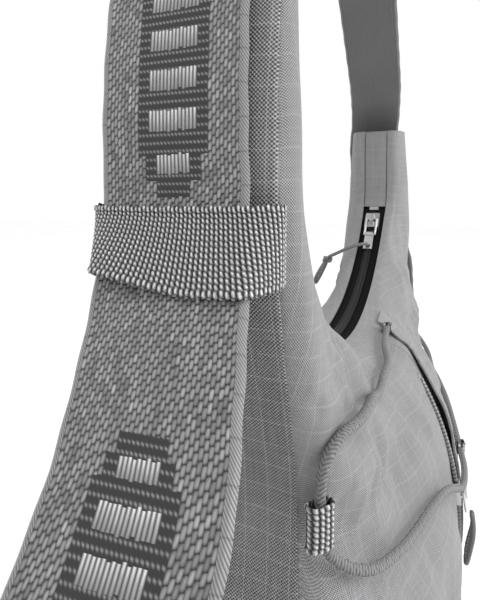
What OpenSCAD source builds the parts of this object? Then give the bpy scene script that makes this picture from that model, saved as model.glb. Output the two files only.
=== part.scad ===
// Crescent sling bag: two necks carry a wide webbing strap, a curved zip closes the top, and a
// centred front zip is crossed by a laced bungee cord. The long side runs along X and the front faces -Y.

/* [Body] */
// Height of the neck tops above the base
neck_z = 308; // [304:1:314]
// Half length of the body at the strap keepers
keeper_x = 174; // [172:1:176]
// Half length of the flat base
base_half = 125; // [120:1:130]
// Thickness of the padded shell fabric
fabric_t = 1.6; // [1.4:0.1:1.8]
// Half width of the neck at its top
neck_half = 20.5; // [20:0.5:21.5]

/* [Main zip] */
// Radius of the curved top zip, measured at the mouth edge
zip_r = 191; // [189:1:193]
// Height of the centre of the zip's arc
zip_z = 371; // [369:1:373]
// Half angle that the zip spans
zip_sweep = 50; // [48:1:50]
// Half width of the mouth between the two panel edges
mouth_half = 8; // [7.5:0.5:9]

/* [Front zip] */
// Radius of the belly arc that the front zip follows
front_r = 160; // [158:1:162]
// Height of the centre of the belly arc
front_z = 80; // [78:1:82]
// Distance of the belly arc's centre behind the middle of the bag
front_back = 95; // [93:1:97]

/* [Strap] */
// Width of the shoulder strap
strap_w = 38; // [36:1:40]
// Thickness of the shoulder strap
strap_t = 2; // [1.6:0.2:2.2]
// Height of the strap's highest point
strap_top = 452; // [440:2:470]
// Height of a keeper band
keeper_h = 18; // [16:1:20]

/* [Cords] */
// Diameter of the bungee cord
bungee_d = 3.4; // [3:0.2:3.8]
// Diameter of the pull cords
pull_cord_d = 2.4; // [2:0.2:2.6]

/* [Hidden] */

fabric = "#a3a3a3";
fabric_dark = "#8a8a8a";
webbing = "#7d7d7d";
black = "#1c1c1c";
steel = "#c4c4c8";
cord_grey = "#909090";
$fn = 48;

// Curves and small helpers
function mix(a, b, t) = a + (b - a) * t;
function smooth(t) = let (k = min(1, max(0, t))) k * k * (3 - 2 * k);
function bez(p, t) = let (s = 1 - t)
    s * s * s * p[0] + 3 * s * s * t * p[1] + 3 * s * t * t * p[2] + t * t * t * p[3];
function unit(v) = v / norm(v);
function flat(rows) = [for (row = rows) for (p = row) p];
function mirrored(path) = [for (i = [len(path) - 1:-1:0]) [-path[i][0], path[i][1]]];

// Left half of the outline in the XZ plane: outer edge from neck top to base, inner edge from neck
// top down to the zip and along its arc. u runs from 0 at the neck top to 1 at the bag's middle.
neck_u = 0.2;
side_u = 0.55;
corner_u = 0.8;
keeper_z = 250;
neck_out = [[7 - keeper_x, neck_z], [3.5 - keeper_x, neck_z - 20], [-keeper_x, keeper_z + 25],
            [-keeper_x, keeper_z]];
waist = [-153, 155];
side_out = [neck_out[3], [-keeper_x, keeper_z - 35], [-150, 195], waist];
corner_out = [waist, [-158, 88], [-205, 0], [-base_half, 0]];
function arc_pt(a) = [-zip_r * sin(a), zip_z - zip_r * cos(a)];
arc_end = arc_pt(zip_sweep);
neck_in = [[28 - keeper_x, neck_z], [27.5 - keeper_x, neck_z - 30],
           arc_end + 12 * [-cos(zip_sweep), sin(zip_sweep)], arc_end];
function outer(u, end_x = 0) =
    u < neck_u ? bez(neck_out, u / neck_u) :
    u < side_u ? bez(side_out, (u - neck_u) / (side_u - neck_u)) :
    u < corner_u ? bez(corner_out, (u - side_u) / (corner_u - side_u)) :
    mix([-base_half, 0], [-end_x, 0], (u - corner_u) / (1 - corner_u));
function inner(u, end_x = 0) =
    u < neck_u ? bez(neck_in, u / neck_u) :
    arc_pt(mix(zip_sweep, asin(end_x / zip_r), (u - neck_u) / (1 - neck_u)));

// Half width of the body at its side seams, and how far the panels swell between seam and mouth
base_depth = sqrt(front_r * front_r - front_z * front_z) - front_back;
function seam_half(u) = lookup(u, [[0, neck_half], [neck_u, 22.6], [0.38, 21.5], [side_u, 22], [0.7, 31],
                                   [corner_u, base_depth - 2], [1, base_depth]]);
function swell(u) = lookup(u, [[0, 0], [neck_u, 1], [0.4, 5], [side_u, 14], [corner_u, 25], [1, 27]]);
function belly(z) = sqrt(max(0, front_r * front_r - pow(z - front_z, 2))) - front_back;
function plain_depth(u, v) =
    mouth_half + (seam_half(u) - mouth_half) * pow(v, 0.25) + swell(u) * 4 * v * (1 - v);
function front_pt(u, v, end_x = 0) =
    let (p = mix(inner(u, end_x), outer(u, end_x), v), w = smooth((75 + p[0]) / 45) * smooth(v / 0.06))
    [p[0], -mix(plain_depth(u, v), belly(p[1]), w), p[1]];
function back_pt(u, v) =
    let (p = mix(inner(u), outer(u), v))
    [p[0], plain_depth(u, v) - swell(u) * 1.4 * v * (1 - v), p[1]];

// A sheet of thickness t behind a grid of points, as one closed solid. side flips the thickness.
function grid_normal(g, i, j) =
    let (n = len(g) - 1, m = len(g[0]) - 1,
         a = g[min(n, i + 1)][j] - g[max(0, i - 1)][j], b = g[i][min(m, j + 1)] - g[i][max(0, j - 1)])
    unit(cross(a, b));
module sheet(g, t, side = 1) {
    n = len(g);
    m = len(g[0]);
    under = [for (i = [0:n - 1]) [for (j = [0:m - 1]) g[i][j] + side * t * grid_normal(g, i, j)]];
    count = n * m;
    top_faces = [for (i = [0:n - 2]) for (j = [0:m - 2]) let (k = i * m + j)
                 each [[k, k + 1, k + m + 1], [k, k + m + 1, k + m]]];
    rim = concat([for (j = [0:m - 1]) j], [for (i = [1:n - 1]) i * m + m - 1],
                 [for (j = [m - 2:-1:0]) (n - 1) * m + j], [for (i = [n - 2:-1:1]) i * m]);
    rim_faces = [for (k = [0:len(rim) - 1]) let (a = rim[k], b = rim[(k + 1) % len(rim)])
                 each [[b, a, a + count], [b, a + count, b + count]]];
    faces = concat(top_faces, [for (f = top_faces) [f[2] + count, f[1] + count, f[0] + count]], rim_faces);
    polyhedron(concat(flat(g), flat(under)), side > 0 ? faces : [for (f = faces) [f[2], f[1], f[0]]]);
}

// A tube along a path, with flat ends
function ring_of(path, k, r, sides) =
    let (n = len(path) - 1, d = unit(path[min(n, k + 1)] - path[max(0, k - 1)]),
         s = unit(cross(d, abs(d[1]) > 0.9 ? [1, 0, 0] : [0, 1, 0])), q = cross(d, s))
    [for (i = [0:sides - 1]) path[k] + r * (cos(i * 360 / sides) * s + sin(i * 360 / sides) * q)];
module tube(path, d, sides = 8) {
    rings = [for (k = [0:len(path) - 1]) ring_of(path, k, d / 2, sides)];
    last = (len(path) - 1) * sides;
    walls = [for (k = [0:len(path) - 2]) for (i = [0:sides - 1])
             let (a = k * sides + i, b = k * sides + (i + 1) % sides)
             each [[a, b, b + sides], [a, b + sides, a + sides]]];
    polyhedron(flat(rings), concat(walls, [[for (i = [sides - 1:-1:0]) i], [for (i = [0:sides - 1]) last + i]]));
}
function curve(pts, step) =   // smooth curve through the points, step samples on each stretch
    let (n = len(pts) - 1)
    [for (k = [0:n - 1]) for (s = [0:step - 1])
        let (t = s / step, a = pts[max(0, k - 1)], b = pts[k], c = pts[k + 1], d = pts[min(n, k + 2)])
        0.5 * ((2 * b) + (c - a) * t + (2 * a - 5 * b + 4 * c - d) * t * t
               + (3 * b - a - 3 * c + d) * t * t * t),
     pts[n]];

// A band of constant width along Y whose edge follows a path in XZ, between two offsets to its left
function path_normal(path, k) =
    let (n = len(path) - 1, d = unit(path[min(n, k + 1)] - path[max(0, k - 1)])) [-d[1], d[0]];
function shifted(path, off) = [for (k = [0:len(path) - 1]) path[k] + off * path_normal(path, k)];
module band(path, off0, off1, width) {
    a = shifted(path, off0);
    b = shifted(path, off1);
    rotate([90, 0, 0])
        linear_extrude(width, center = true)
            polygon(concat(a, [for (k = [len(b) - 1:-1:0]) b[k]]));
}

// Bars bent to the main zip's arc and to the front zip's arc. Angles of the main zip run from the
// bottom towards +X, and those of the front zip upwards from the belly's furthest point.
module zip_bar(r0, r1, y0, y1, a0, a1) {
    translate([0, 0, zip_z])
        rotate([90, 0, 0])
            rotate([0, 0, 270 + a0])
                rotate_extrude(angle = a1 - a0, $fn = 180)
                    translate([r0, -y1])
                        square([r1 - r0, y1 - y0]);
}
module front_bar(r0, r1, x0, x1, a0, a1) {
    translate([0, front_back, front_z])
        rotate([0, 90, 0])
            rotate([0, 0, 270 - a1])
                rotate_extrude(angle = a1 - a0, $fn = 180)
                    translate([r0, x0])
                        square([r1 - r0, x1 - x0]);
}
function front_arc_pt(a, out) = [0, front_back - (front_r + out) * cos(a), front_z + (front_r + out) * sin(a)];

// Shell panels
panel_cols = 38;
panel_rows = 9;
zip_gap = 6;
function row_v(k) = pow(k / panel_rows, 1.7);
module front_half() {
    sheet([for (i = [0:panel_cols]) [for (k = [0:panel_rows]) front_pt(i / panel_cols, row_v(k), zip_gap)]],
          fabric_t, 1);
}
module front_left_panel() {
    color(fabric) front_half();
}
module front_right_panel() {
    color(fabric) mirror([1, 0, 0]) front_half();
}
module back_panel() {
    left = [for (i = [0:panel_cols]) [for (k = [0:panel_rows]) back_pt(i / panel_cols, row_v(k))]];
    right = [for (i = [panel_cols - 1:-1:0]) [for (p = left[i]) [-p[0], p[1], p[2]]]];
    color(fabric) sheet(concat(left, right), fabric_t, -1);
}

// The gussets and the flat base close the outline between the two panels
seam_gap = 2.6;
gusset_rows = 40;
function band_row(u) =
    let (p = outer(u), h = seam_half(u) - seam_gap) [for (k = [-1:1]) [p[0], k * h, p[1]]];
module gusset() {
    color(fabric_dark)
        sheet([for (i = [0:gusset_rows]) band_row((corner_u - 0.003) * i / gusset_rows)], fabric_t, 1);
}
module left_gusset() {
    gusset();
}
module right_gusset() {
    mirror([1, 0, 0]) gusset();
}
module base_panel() {
    color(fabric_dark)
        translate([0, 0, fabric_t / 2])
            cube([2 * base_half - 1, 2 * (base_depth - seam_gap) - 4, fabric_t], center = true);
}

// Inside: a stiffener on the base, a slip pocket on the back and the front pocket's inner wall
board_t = 2.4;
board_gap = 0.4;
module base_board() {
    color("#6a6a6a")
        translate([0, 0, fabric_t + board_gap])
            linear_extrude(board_t)
                square([2 * base_half - 20, 2 * base_depth - 22], center = true);
}
function pocket_pt(x, v) = [x, 32 + 4 * sin(180 * v), mix(140, 45, v)];
module inner_slip_pocket() {
    color(fabric_dark)
        sheet([for (i = [0:10]) [for (k = [0:6]) pocket_pt(-80 + 16 * i, k / 6)]], 0.8, 1);
}
lining_drop = 9;
module front_pocket_lining() {
    color(fabric_dark)
        front_bar(front_r - lining_drop - 0.8, front_r - lining_drop, -40, 40, -18, 24);
}

// Necks: an inner facing strip above the zip's end, and a folded cap at the top
facing_half = 7.4;
facing_path = [for (i = [0:12]) inner(neck_u * i / 12 * 0.96 + 0.002)];
module neck_facing() {
    color(fabric) band(facing_path, 0, -1.4, 2 * facing_half);
}
module left_neck_facing() {
    neck_facing();
}
module right_neck_facing() {
    mirror([1, 0, 0]) neck_facing();
}
cap_t = 3;
cap_inset = 2.4;
cap_side = [for (v = [0.15:0.15:0.9]) [mix(inner(0)[0], outer(0)[0], v), plain_depth(0, v) - cap_inset]];
module neck_cap() {
    color(fabric)
        translate([0, 0, neck_z - cap_t - 1])
            linear_extrude(cap_t)
                polygon(concat(cap_side, [for (k = [len(cap_side) - 1:-1:0]) [cap_side[k][0], -cap_side[k][1]]]));
}
module left_neck_cap() {
    neck_cap();
}
module right_neck_cap() {
    mirror([1, 0, 0]) neck_cap();
}

// Front zip cover: the right panel's turned edge, raised over the zip
placket_lift = 1;
placket_t = 1.2;
front_zip_low = -15;
front_zip_high = 31;
placket_in = 4.2;
placket_out = 15;
module front_placket() {
    color(fabric)
        front_bar(front_r + placket_lift, front_r + placket_lift + placket_t, placket_in, placket_out,
                  front_zip_low, front_zip_high + 6);
}

// Main zip
tape_in = 2.2;
tape_half = 9;
tape_t = 0.9;
coil_half = 2.6;
module main_zip_tape() {
    color(black) zip_bar(zip_r + tape_in, zip_r + tape_in + tape_t, -tape_half, tape_half, -zip_sweep, zip_sweep);
}
module main_zip_coil() {
    color(black) zip_bar(zip_r - 1, zip_r + 1.5, -coil_half, coil_half, 1.6 - zip_sweep, zip_sweep - 1.6);
}
module main_zip_stops() {
    color(steel)
        for (a = [0.8 - zip_sweep, zip_sweep - 0.8])
            zip_bar(zip_r - 1.6, zip_r + 1.5, -3.4, 3.4, a - 0.5, a + 0.5);
}
// Front zip
front_coil_x = -1;
front_coil_half = 2;
module front_zip_tape() {
    color(black)
        front_bar(front_r - fabric_t - 1.6, front_r - fabric_t - 0.9, -11, 11, front_zip_low, front_zip_high);
}
module front_zip_coil() {
    color(black)
        front_bar(front_r - 1.8, front_r + 0.2, front_coil_x - front_coil_half, front_coil_x + front_coil_half,
                  front_zip_low + 1.5, front_zip_high - 1.5);
}
module front_zip_stops() {
    color(steel)
        for (a = [front_zip_low + 0.8, front_zip_high - 0.8])
            front_bar(front_r - 1.8, front_r + 0.8, front_coil_x - 2.4, front_coil_x + 2.4, a - 0.4, a + 0.4);
}

// Strap: sewn to the gusset's foot, bowed out below the keeper, flat on the neck, then over the top
strap_gap = 0.5;
strap_mid = strap_gap + strap_t / 2;
strap_foot = shifted([for (i = [8:-1:0]) outer(mix(0.655, 0.74, i / 8))], strap_mid);
bow_out = -238;
bow_z = 150;
strap_neck = shifted([for (i = [10:-1:0]) outer(0.19 * i / 10)], strap_mid);
bow_foot = strap_foot[8];
bow_low = [for (i = [1:11]) bez([bow_foot, bow_foot + [-3, 24], [bow_out - 1, bow_z - 50],
                                 [bow_out, bow_z]], i / 12)];
bow_high = [for (i = [0:11]) bez([[bow_out, bow_z], [bow_out + 1, bow_z + 32],
                                  strap_neck[0] + [-7, -32], strap_neck[0]], i / 12)];
bend_top = strap_neck[10] + [40, 38];
apex_run = 30;
strap_bend = [for (i = [1:6]) bez([strap_neck[10], strap_neck[10] + [3, 16], bend_top - [14, 14], bend_top],
                                  i / 6)];
strap_apex = [for (i = [0:8]) bez([[-apex_run, strap_top - 11], [-apex_run / 2, strap_top + 4],
                                   [apex_run / 2, strap_top + 4], [apex_run, strap_top - 11]], i / 8)];
strap_left = concat(strap_foot, bow_low, bow_high, strap_neck, strap_bend);
// The strap lies a little behind the middle of the neck, and its bow swings a little to the front
function strap_y(z) = lookup(z, [[60, -2], [150, -8], [200, -7], [232, 0.5], [250, 4], [300, 6], [340, 0]]);
module shoulder_strap() {
    path = shifted(concat(strap_left, strap_apex, mirrored(strap_left)), strap_t / 2);
    color(webbing)
        sheet([for (p = path) [for (k = [-1:1]) [p[0], strap_y(p[1]) + k * strap_w / 2, p[1]]]], strap_t, -1);
}
module strap_end_stitching() {
    stitch_path = shifted([for (i = [7:-1:1]) outer(mix(0.655, 0.74, i / 8))], strap_gap + strap_t + 0.3);
    color(fabric_dark)
        for (s = [0, 1])
            mirror([s, 0, 0])
                for (y = [-16, 12])
                    translate([0, y, 0]) band(stitch_path, 0, 0.7, 2);
}

// Keepers: a band from seam to seam over the strap, pushed outwards at its lower edge by the bow
keeper_t = 1.8;
keeper_top = keeper_x + strap_gap + strap_t + 1.9;
keeper_lean = 10.4;
function keeper_row(t) =
    let (z = keeper_z - keeper_h * t, face = keeper_top + keeper_lean * t, side = keeper_x + keeper_lean * t / 2)
    [[-keeper_x - 0.3, -22.6, z], [-side - 1.2, -22.9, z], [-face, -19.5, z], [-face, 22.2, z],
     [2 - face, 24.2, z], [-side - 0.6, 24.5, z], [-keeper_x - 0.3, 23.2, z]];
module keeper() {
    color(webbing) sheet([for (i = [0:4]) keeper_row(i / 4)], keeper_t, -1);
}
module left_keeper() {
    keeper();
}
module right_keeper() {
    mirror([1, 0, 0]) keeper();
}

// Bungee lacing: from the right of the mouth through the left tab and across the lower centre to the
// right tab.
// Each point is [u, v] on the front panel, lifted off the cloth by the given height, and by the rise
// more where it crosses the placket.
cord_lift = bungee_d / 2 + 0.8;
cord_rise = 1.8;
function on_front(u, v, lift) =
    let (e = 0.004, p = front_pt(u, v, zip_gap), a = front_pt(u - e, v, zip_gap) - p,
         b = front_pt(u, v + e, zip_gap) - p)
    p + lift * unit(cross(a, b));
lace_start = [0.93, 0.016];
lace_top = [[0.985, 0.02], [0.914, 0.026], [0.83, 0.04], [0.765, 0.062], [0.715, 0.1], [0.63, 0.2],
            [0.555, 0.335], [0.5, 0.58], [0.475, 0.73], [0.468, 0.86], [0.482, 0.93]];
lace_low = [[0.553, 0.925], [0.57, 0.826], [0.592, 0.686], [0.643, 0.464], [0.714, 0.338], [0.772, 0.292],
            [0.854, 0.3], [0.96, 0.37]];
lace_last = len(lace_low) - 1;
function other_side(p) = [-p[0], p[1], p[2]];
start_pt = other_side(on_front(lace_start[0], lace_start[1], cord_lift));
tab_pt = on_front(0.522, 0.965, cord_lift + 1);
low_left = [for (i = [0:lace_last])
            on_front(lace_low[i][0], lace_low[i][1], cord_lift + (i == lace_last ? cord_rise : 0))];
lace_left = concat([start_pt], [for (p = lace_top) on_front(p[0], p[1], cord_lift)], [tab_pt], low_left);
low_end = low_left[lace_last];
lace_cross = [[0, low_end[1] - 1.4, low_end[2] - 0.5]];
lace_right = [for (i = [lace_last:-1:0]) other_side(low_left[i])];
module bungee_cord() {
    route = concat(lace_left, lace_cross, lace_right, [other_side(tab_pt)]);
    color(cord_grey) tube(curve(route, 3), bungee_d, 8);
}
tab_w = 8;
tab_h = 13;
module cord_tab() {
    color(webbing)
        translate(tab_pt)
            rotate([0, 0, -36])
                cube([tab_w, bungee_d + 1.4, tab_h], center = true);
}
module left_cord_tab() {
    cord_tab();
}
module right_cord_tab() {
    mirror([1, 0, 0]) cord_tab();
}
module cord_anchor(p, turn) {
    color(webbing)
        translate(p)
            rotate([turn, 0, 0])
                cube([6, bungee_d + 1.2, 6.4], center = true);
}
module top_cord_anchor() {
    cord_anchor(start_pt, -71);
}
module lower_cord_anchor() {
    cord_anchor([20, lace_right[0][1] + 0.4, lace_right[0][2] + 1.5], -12);
}

// Main slider and its pull, drawn at the zip's right end
rest_angle = 45;
slider_half_angle = 2.2;
crown_r = zip_r - 4.3;
wire_d = 1.6;
bail_half = 3.8;
bail_len = 16;
slider_lift = 1.3;
module at_main_slider() {
    translate([0, 0, zip_z])
        rotate([0, -rest_angle, 0])
            translate([0, 0, -zip_z])
                children();
}
module main_slider() {
    h = slider_half_angle;
    color(steel)
        at_main_slider() {
            zip_bar(zip_r - 3.2, zip_r - slider_lift, -5.2, 5.2, -h, h);
            for (s = [-1, 1])
                zip_bar(zip_r - slider_lift - 0.1, zip_r + 1.4, min(s * 3, s * 5.2), max(s * 3, s * 5.2), -h, h);
            for (s = [-1, 1])
                zip_bar(zip_r - 5.4, zip_r - 3.1, -1.5, 1.5, s * 0.95 - 0.2, s * 0.95 + 0.2);
            zip_bar(zip_r - 6.4, zip_r - 5.35, -1.5, 1.5, -1.15, 1.15);
        }
}
module rod(a, b, d) {
    v = b - a;
    translate(a)
        rotate([0, acos(v[2] / norm(v)), atan2(v[1], v[0])])
            cylinder(h = norm(v), d = d);
}
pivot_z = zip_z - crown_r;
module main_bail() {
    tail_x = -bail_len;
    color(steel)
        at_main_slider() {
            for (x = [0, tail_x])
                rod([x, -bail_half - wire_d / 2, pivot_z], [x, bail_half + wire_d / 2, pivot_z], wire_d);
            for (s = [-1, 1])
                rod([tail_x, s * bail_half, pivot_z], [0, s * bail_half, pivot_z], wire_d);
        }
}
tab_len = 15;
module main_pull_tab() {
    color(steel)
        at_main_slider()
            translate([-bail_len, 0, pivot_z])
                difference() {
                    union() {
                        rotate([90, 0, 0]) cylinder(h = 5, r = 2, center = true);
                        translate([-tab_len, -3.2, -0.7]) cube([tab_len - 1, 6.4, 1.4]);
                    }
                    rotate([90, 0, 0]) cylinder(h = 8, r = wire_d / 2 + 0.06, center = true);
                    translate([-tab_len + 3.2, 0, 0]) cylinder(h = 4, r = 1.7, center = true);
                }
}
// The pull cord: threaded through the tab's eye, knotted, with its loop hanging over the back shoulder.
// Points are in the slider's own frame at the middle of the zip, before it is turned to its place.
eye = [-bail_len - tab_len + 3.2, 0, pivot_z];
pull_cord_route = [[0, 0, 0], [-0.5, 0.5, 3], [-3, 3, 5.5], [-6, 8.2, 6.8], [-9, 14, 6.5], [-12, 20.2, 5.2],
                   [-14, 25, 3.8], [-15, 27.5, 2], [-19.2, 30, 0.6], [-24.5, 32.7, -1.3], [-28.3, 35.1, -4.5],
                   [-29.5, 36, -9], [-26, 36, -12.5], [-21.5, 34.1, -11.3], [-18.3, 31.7, -7.5],
                   [-16.4, 29, -2.2], [-16, 28.4, -0.9]];
knot_at = [-15.2, 27.9, 1.2];
module main_pull_cord() {
    color(cord_grey)
        at_main_slider()
            tube(curve([for (p = pull_cord_route) eye + p], 3), pull_cord_d, 8);
}
module main_cord_knot() {
    color(cord_grey)
        at_main_slider()
            translate(eye + knot_at) sphere(d = 7, $fn = 32);
}

// Front slider, its ring and its cord loop, drawn part of the way down the front zip
front_rest = 8;
front_slider_half = 2;
ring_out = 3.4;
module front_slider() {
    h = front_slider_half;
    c = front_coil_x;
    color(steel) {
        front_bar(front_r + 0.5, front_r + 2, c - 4, c + 4, front_rest - h, front_rest + h);
        for (s = [-1, 1])
            front_bar(front_r - 1.4, front_r + 0.6, min(c + s * 2.3, c + s * 4), max(c + s * 2.3, c + s * 4),
                      front_rest - h, front_rest + h);
        for (s = [-1, 1])
            front_bar(front_r + 1.9, front_r + 4.3, c - 1.2, c + 1.2, front_rest + s * 0.9 - 0.2,
                      front_rest + s * 0.9 + 0.2);
        front_bar(front_r + 4.2, front_r + 5.2, c - 1.2, c + 1.2, front_rest - 1.1, front_rest + 1.1);
    }
}
front_pivot = front_arc_pt(front_rest, ring_out) + [front_coil_x, 0, 0];
ring_drop = 9;
module front_pull_ring() {
    low = front_pivot + [0, -1.6, -ring_drop];
    color(steel) {
        rod(front_pivot - [3, 0, 0], front_pivot + [3, 0, 0], 1.3);
        rod(low - [3, 0, 0], low + [3, 0, 0], 1.3);
        for (s = [-1, 1])
            rod(front_pivot + [s * 2.6, 0, 0], low + [s * 2.6, 0, 0], 1.3);
    }
}
loop_route = [[-1, -0.5, -1.5], [-3, -1.5, -6], [-5, -1.5, -12], [-6, -0.5, -18], [-5.5, 0.5, -24],
              [-2, 1, -28.5], [3, 1, -28.5], [6, 0.5, -24], [6, -0.5, -18], [5, -1.5, -12], [3, -1.5, -6],
              [1, -0.5, -1.5]];
module front_pull_cord() {
    top = front_pivot + [0, -3.6, -ring_drop + 0.5];
    color(cord_grey) tube(curve([for (p = loop_route) top + p], 3), pull_cord_d, 8);
}

front_left_panel();
front_right_panel();
back_panel();
left_gusset();
right_gusset();
base_panel();
base_board();
inner_slip_pocket();
front_pocket_lining();
left_neck_facing();
right_neck_facing();
left_neck_cap();
right_neck_cap();
front_placket();
main_zip_tape();
main_zip_coil();
main_zip_stops();
front_zip_tape();
front_zip_coil();
front_zip_stops();
shoulder_strap();
strap_end_stitching();
left_keeper();
right_keeper();
left_cord_tab();
right_cord_tab();
bungee_cord();
top_cord_anchor();
lower_cord_anchor();
main_slider();
main_bail();
main_pull_tab();
main_pull_cord();
main_cord_knot();
front_slider();
front_pull_ring();
front_pull_cord();
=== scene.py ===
"""Looks of a crescent sling bag: ripstop shell, figured shoulder strap, laced bungee cord and two zips.

Shapes are worked out in millimetres with the same formulas as the CAD model, and turned into metres
when a mesh is made. The long side runs along X, the front faces -Y, and left is -X.
"""
import math

import bpy
import numpy as np
from mathutils import Matrix, Vector


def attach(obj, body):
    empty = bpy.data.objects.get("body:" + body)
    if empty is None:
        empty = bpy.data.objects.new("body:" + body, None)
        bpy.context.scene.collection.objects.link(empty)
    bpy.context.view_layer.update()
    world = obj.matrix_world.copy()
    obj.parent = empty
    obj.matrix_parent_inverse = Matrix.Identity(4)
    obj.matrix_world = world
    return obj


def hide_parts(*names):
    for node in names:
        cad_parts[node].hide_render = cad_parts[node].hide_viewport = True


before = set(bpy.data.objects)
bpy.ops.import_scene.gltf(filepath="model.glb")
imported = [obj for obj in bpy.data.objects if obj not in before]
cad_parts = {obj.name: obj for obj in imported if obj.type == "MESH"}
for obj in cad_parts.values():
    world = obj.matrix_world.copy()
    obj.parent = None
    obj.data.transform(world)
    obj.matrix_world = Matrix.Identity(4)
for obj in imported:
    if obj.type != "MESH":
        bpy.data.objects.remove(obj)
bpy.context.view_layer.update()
MM = 0.001

# Driving dimensions, as in the CAD model
KEEPER_X = 174.0
KEEPER_Z = 250.0
KEEPER_H = 18.0
NECK_Z = 308.0
NECK_HALF = 20.5
BASE_HALF = 125.0
ZIP_R = 191.0
ZIP_Z = 371.0
ZIP_SWEEP = 50.0
ZIP_GAP = 6.0
MOUTH_HALF = 8.0
FRONT_R = 160.0
FRONT_Z = 80.0
FRONT_BACK = 95.0
STRAP_W = 38.0
STRAP_T = 2.0
STRAP_TOP = 452.0
BUNGEE_D = 3.4
PULL_CORD_D = 2.4
BASE_DEPTH = math.sqrt(FRONT_R**2 - FRONT_Z**2) - FRONT_BACK


# ---------------------------------------------------------------- curves and the bag's surfaces
def mix(a, b, t):
    return a + (b - a) * t


def stack(*parts):
    """Points or pairs from their coordinates, which may be arrays or single numbers."""
    return np.stack(np.broadcast_arrays(*parts), -1)


def smooth(t):
    t = np.clip(t, 0, 1)
    return t * t * (3 - 2 * t)


def bez(points, t):
    t = np.asarray(t, float)[..., None]
    s = 1 - t
    a, b, c, d = (np.array(p, float) for p in points)
    return s**3 * a + 3 * s * s * t * b + 3 * s * t * t * c + t**3 * d


def lookup(x, table):
    return np.interp(x, [row[0] for row in table], [row[1] for row in table])


def arc_pt(angle):
    angle = np.radians(angle)
    return stack(-ZIP_R * np.sin(angle), ZIP_Z - ZIP_R * np.cos(angle))


NECK_U, SIDE_U, CORNER_U = 0.2, 0.55, 0.8
WAIST = [-153, 155]
NECK_OUT = [[7 - KEEPER_X, NECK_Z], [3.5 - KEEPER_X, NECK_Z - 20], [-KEEPER_X, KEEPER_Z + 25],
            [-KEEPER_X, KEEPER_Z]]
SIDE_OUT = [NECK_OUT[3], [-KEEPER_X, KEEPER_Z - 35], [-150, 195], WAIST]
CORNER_OUT = [WAIST, [-158, 88], [-205, 0], [-BASE_HALF, 0]]
ARC_END = arc_pt(ZIP_SWEEP)
LIFT_IN = np.array([-math.cos(math.radians(ZIP_SWEEP)), math.sin(math.radians(ZIP_SWEEP))])
NECK_IN = [[28 - KEEPER_X, NECK_Z], [27.5 - KEEPER_X, NECK_Z - 30], ARC_END + 12 * LIFT_IN, ARC_END]
SEAM = [[0, NECK_HALF], [NECK_U, 22.6], [0.38, 21.5], [SIDE_U, 22], [0.7, 31], [CORNER_U, BASE_DEPTH - 2],
        [1, BASE_DEPTH]]
SWELL = [[0, 0], [NECK_U, 1], [0.4, 5], [SIDE_U, 14], [CORNER_U, 25], [1, 27]]


def outer(u, end_x=0.0):
    """The left half of the bag's outline in XZ, from the neck's top (u = 0) to the base's middle."""
    u = np.asarray(u, float)
    end = np.array([-end_x, 0.0])
    base = np.array([-BASE_HALF, 0.0])
    neck = bez(NECK_OUT, u / NECK_U)
    side = bez(SIDE_OUT, (u - NECK_U) / (SIDE_U - NECK_U))
    corner = bez(CORNER_OUT, (u - SIDE_U) / (CORNER_U - SIDE_U))
    flat = mix(base, end, ((u - CORNER_U) / (1 - CORNER_U))[..., None])
    k = u[..., None]
    return np.where(k < NECK_U, neck, np.where(k < SIDE_U, side, np.where(k < CORNER_U, corner, flat)))


def inner(u, end_x=0.0):
    """The inner edge: down the neck's inside, then along the zip's arc."""
    u = np.asarray(u, float)
    end = math.degrees(math.asin(end_x / ZIP_R))
    arc = arc_pt(mix(ZIP_SWEEP, end, (u - NECK_U) / (1 - NECK_U)))
    return np.where(u[..., None] < NECK_U, bez(NECK_IN, u / NECK_U), arc)


def belly(z):
    return np.sqrt(np.maximum(0, FRONT_R**2 - (z - FRONT_Z) ** 2)) - FRONT_BACK


def plain_depth(u, v):
    seam = lookup(u, SEAM)
    return MOUTH_HALF + (seam - MOUTH_HALF) * v**0.25 + lookup(u, SWELL) * 4 * v * (1 - v)


def front_pt(u, v, end_x=ZIP_GAP):
    p = mix(inner(u, end_x), outer(u, end_x), np.asarray(v)[..., None])
    w = smooth((75 + p[..., 0]) / 45) * smooth(v / 0.06)
    return stack(p[..., 0], -mix(plain_depth(u, v), belly(p[..., 1]), w), p[..., 1])


def back_pt(u, v):
    p = mix(inner(u), outer(u), np.asarray(v)[..., None])
    return stack(p[..., 0], plain_depth(u, v) - lookup(u, SWELL) * 1.4 * v * (1 - v), p[..., 1])


def catmull(points, step):
    """A smooth curve through the points, with step samples on each stretch."""
    p = np.array(points, float)
    rows = []
    for k in range(len(p) - 1):
        a, b, c, d = p[max(0, k - 1)], p[k], p[k + 1], p[min(len(p) - 1, k + 2)]
        for s in range(step):
            t = s / step
            rows.append(0.5 * (2 * b + (c - a) * t + (2 * a - 5 * b + 4 * c - d) * t * t
                               + (3 * b - a - 3 * c + d) * t**3))
    return np.array(rows + [p[-1]])


def arc_length(path):
    return np.r_[0, np.cumsum(np.linalg.norm(np.diff(path, axis=0), axis=1))]


def resample(path, spacing):
    """The same polyline with points at even spacing."""
    s = arc_length(path)
    t = np.linspace(0, s[-1], max(2, int(round(s[-1] / spacing)) + 1))
    return np.stack([np.interp(t, s, path[:, k]) for k in range(path.shape[1])], -1)


def mirror_x(points):
    return np.array(points, float) * [-1, 1, 1]


# The bag's two sides, and how the pieces on them are named
SIDES = ((-1, "left"), (1, "right"))


def sided(grid, side):
    """A grid made for the left side, or its mirror image with its rows the other way round."""
    return (grid * [-side, 1, 1])[::-side]


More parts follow.
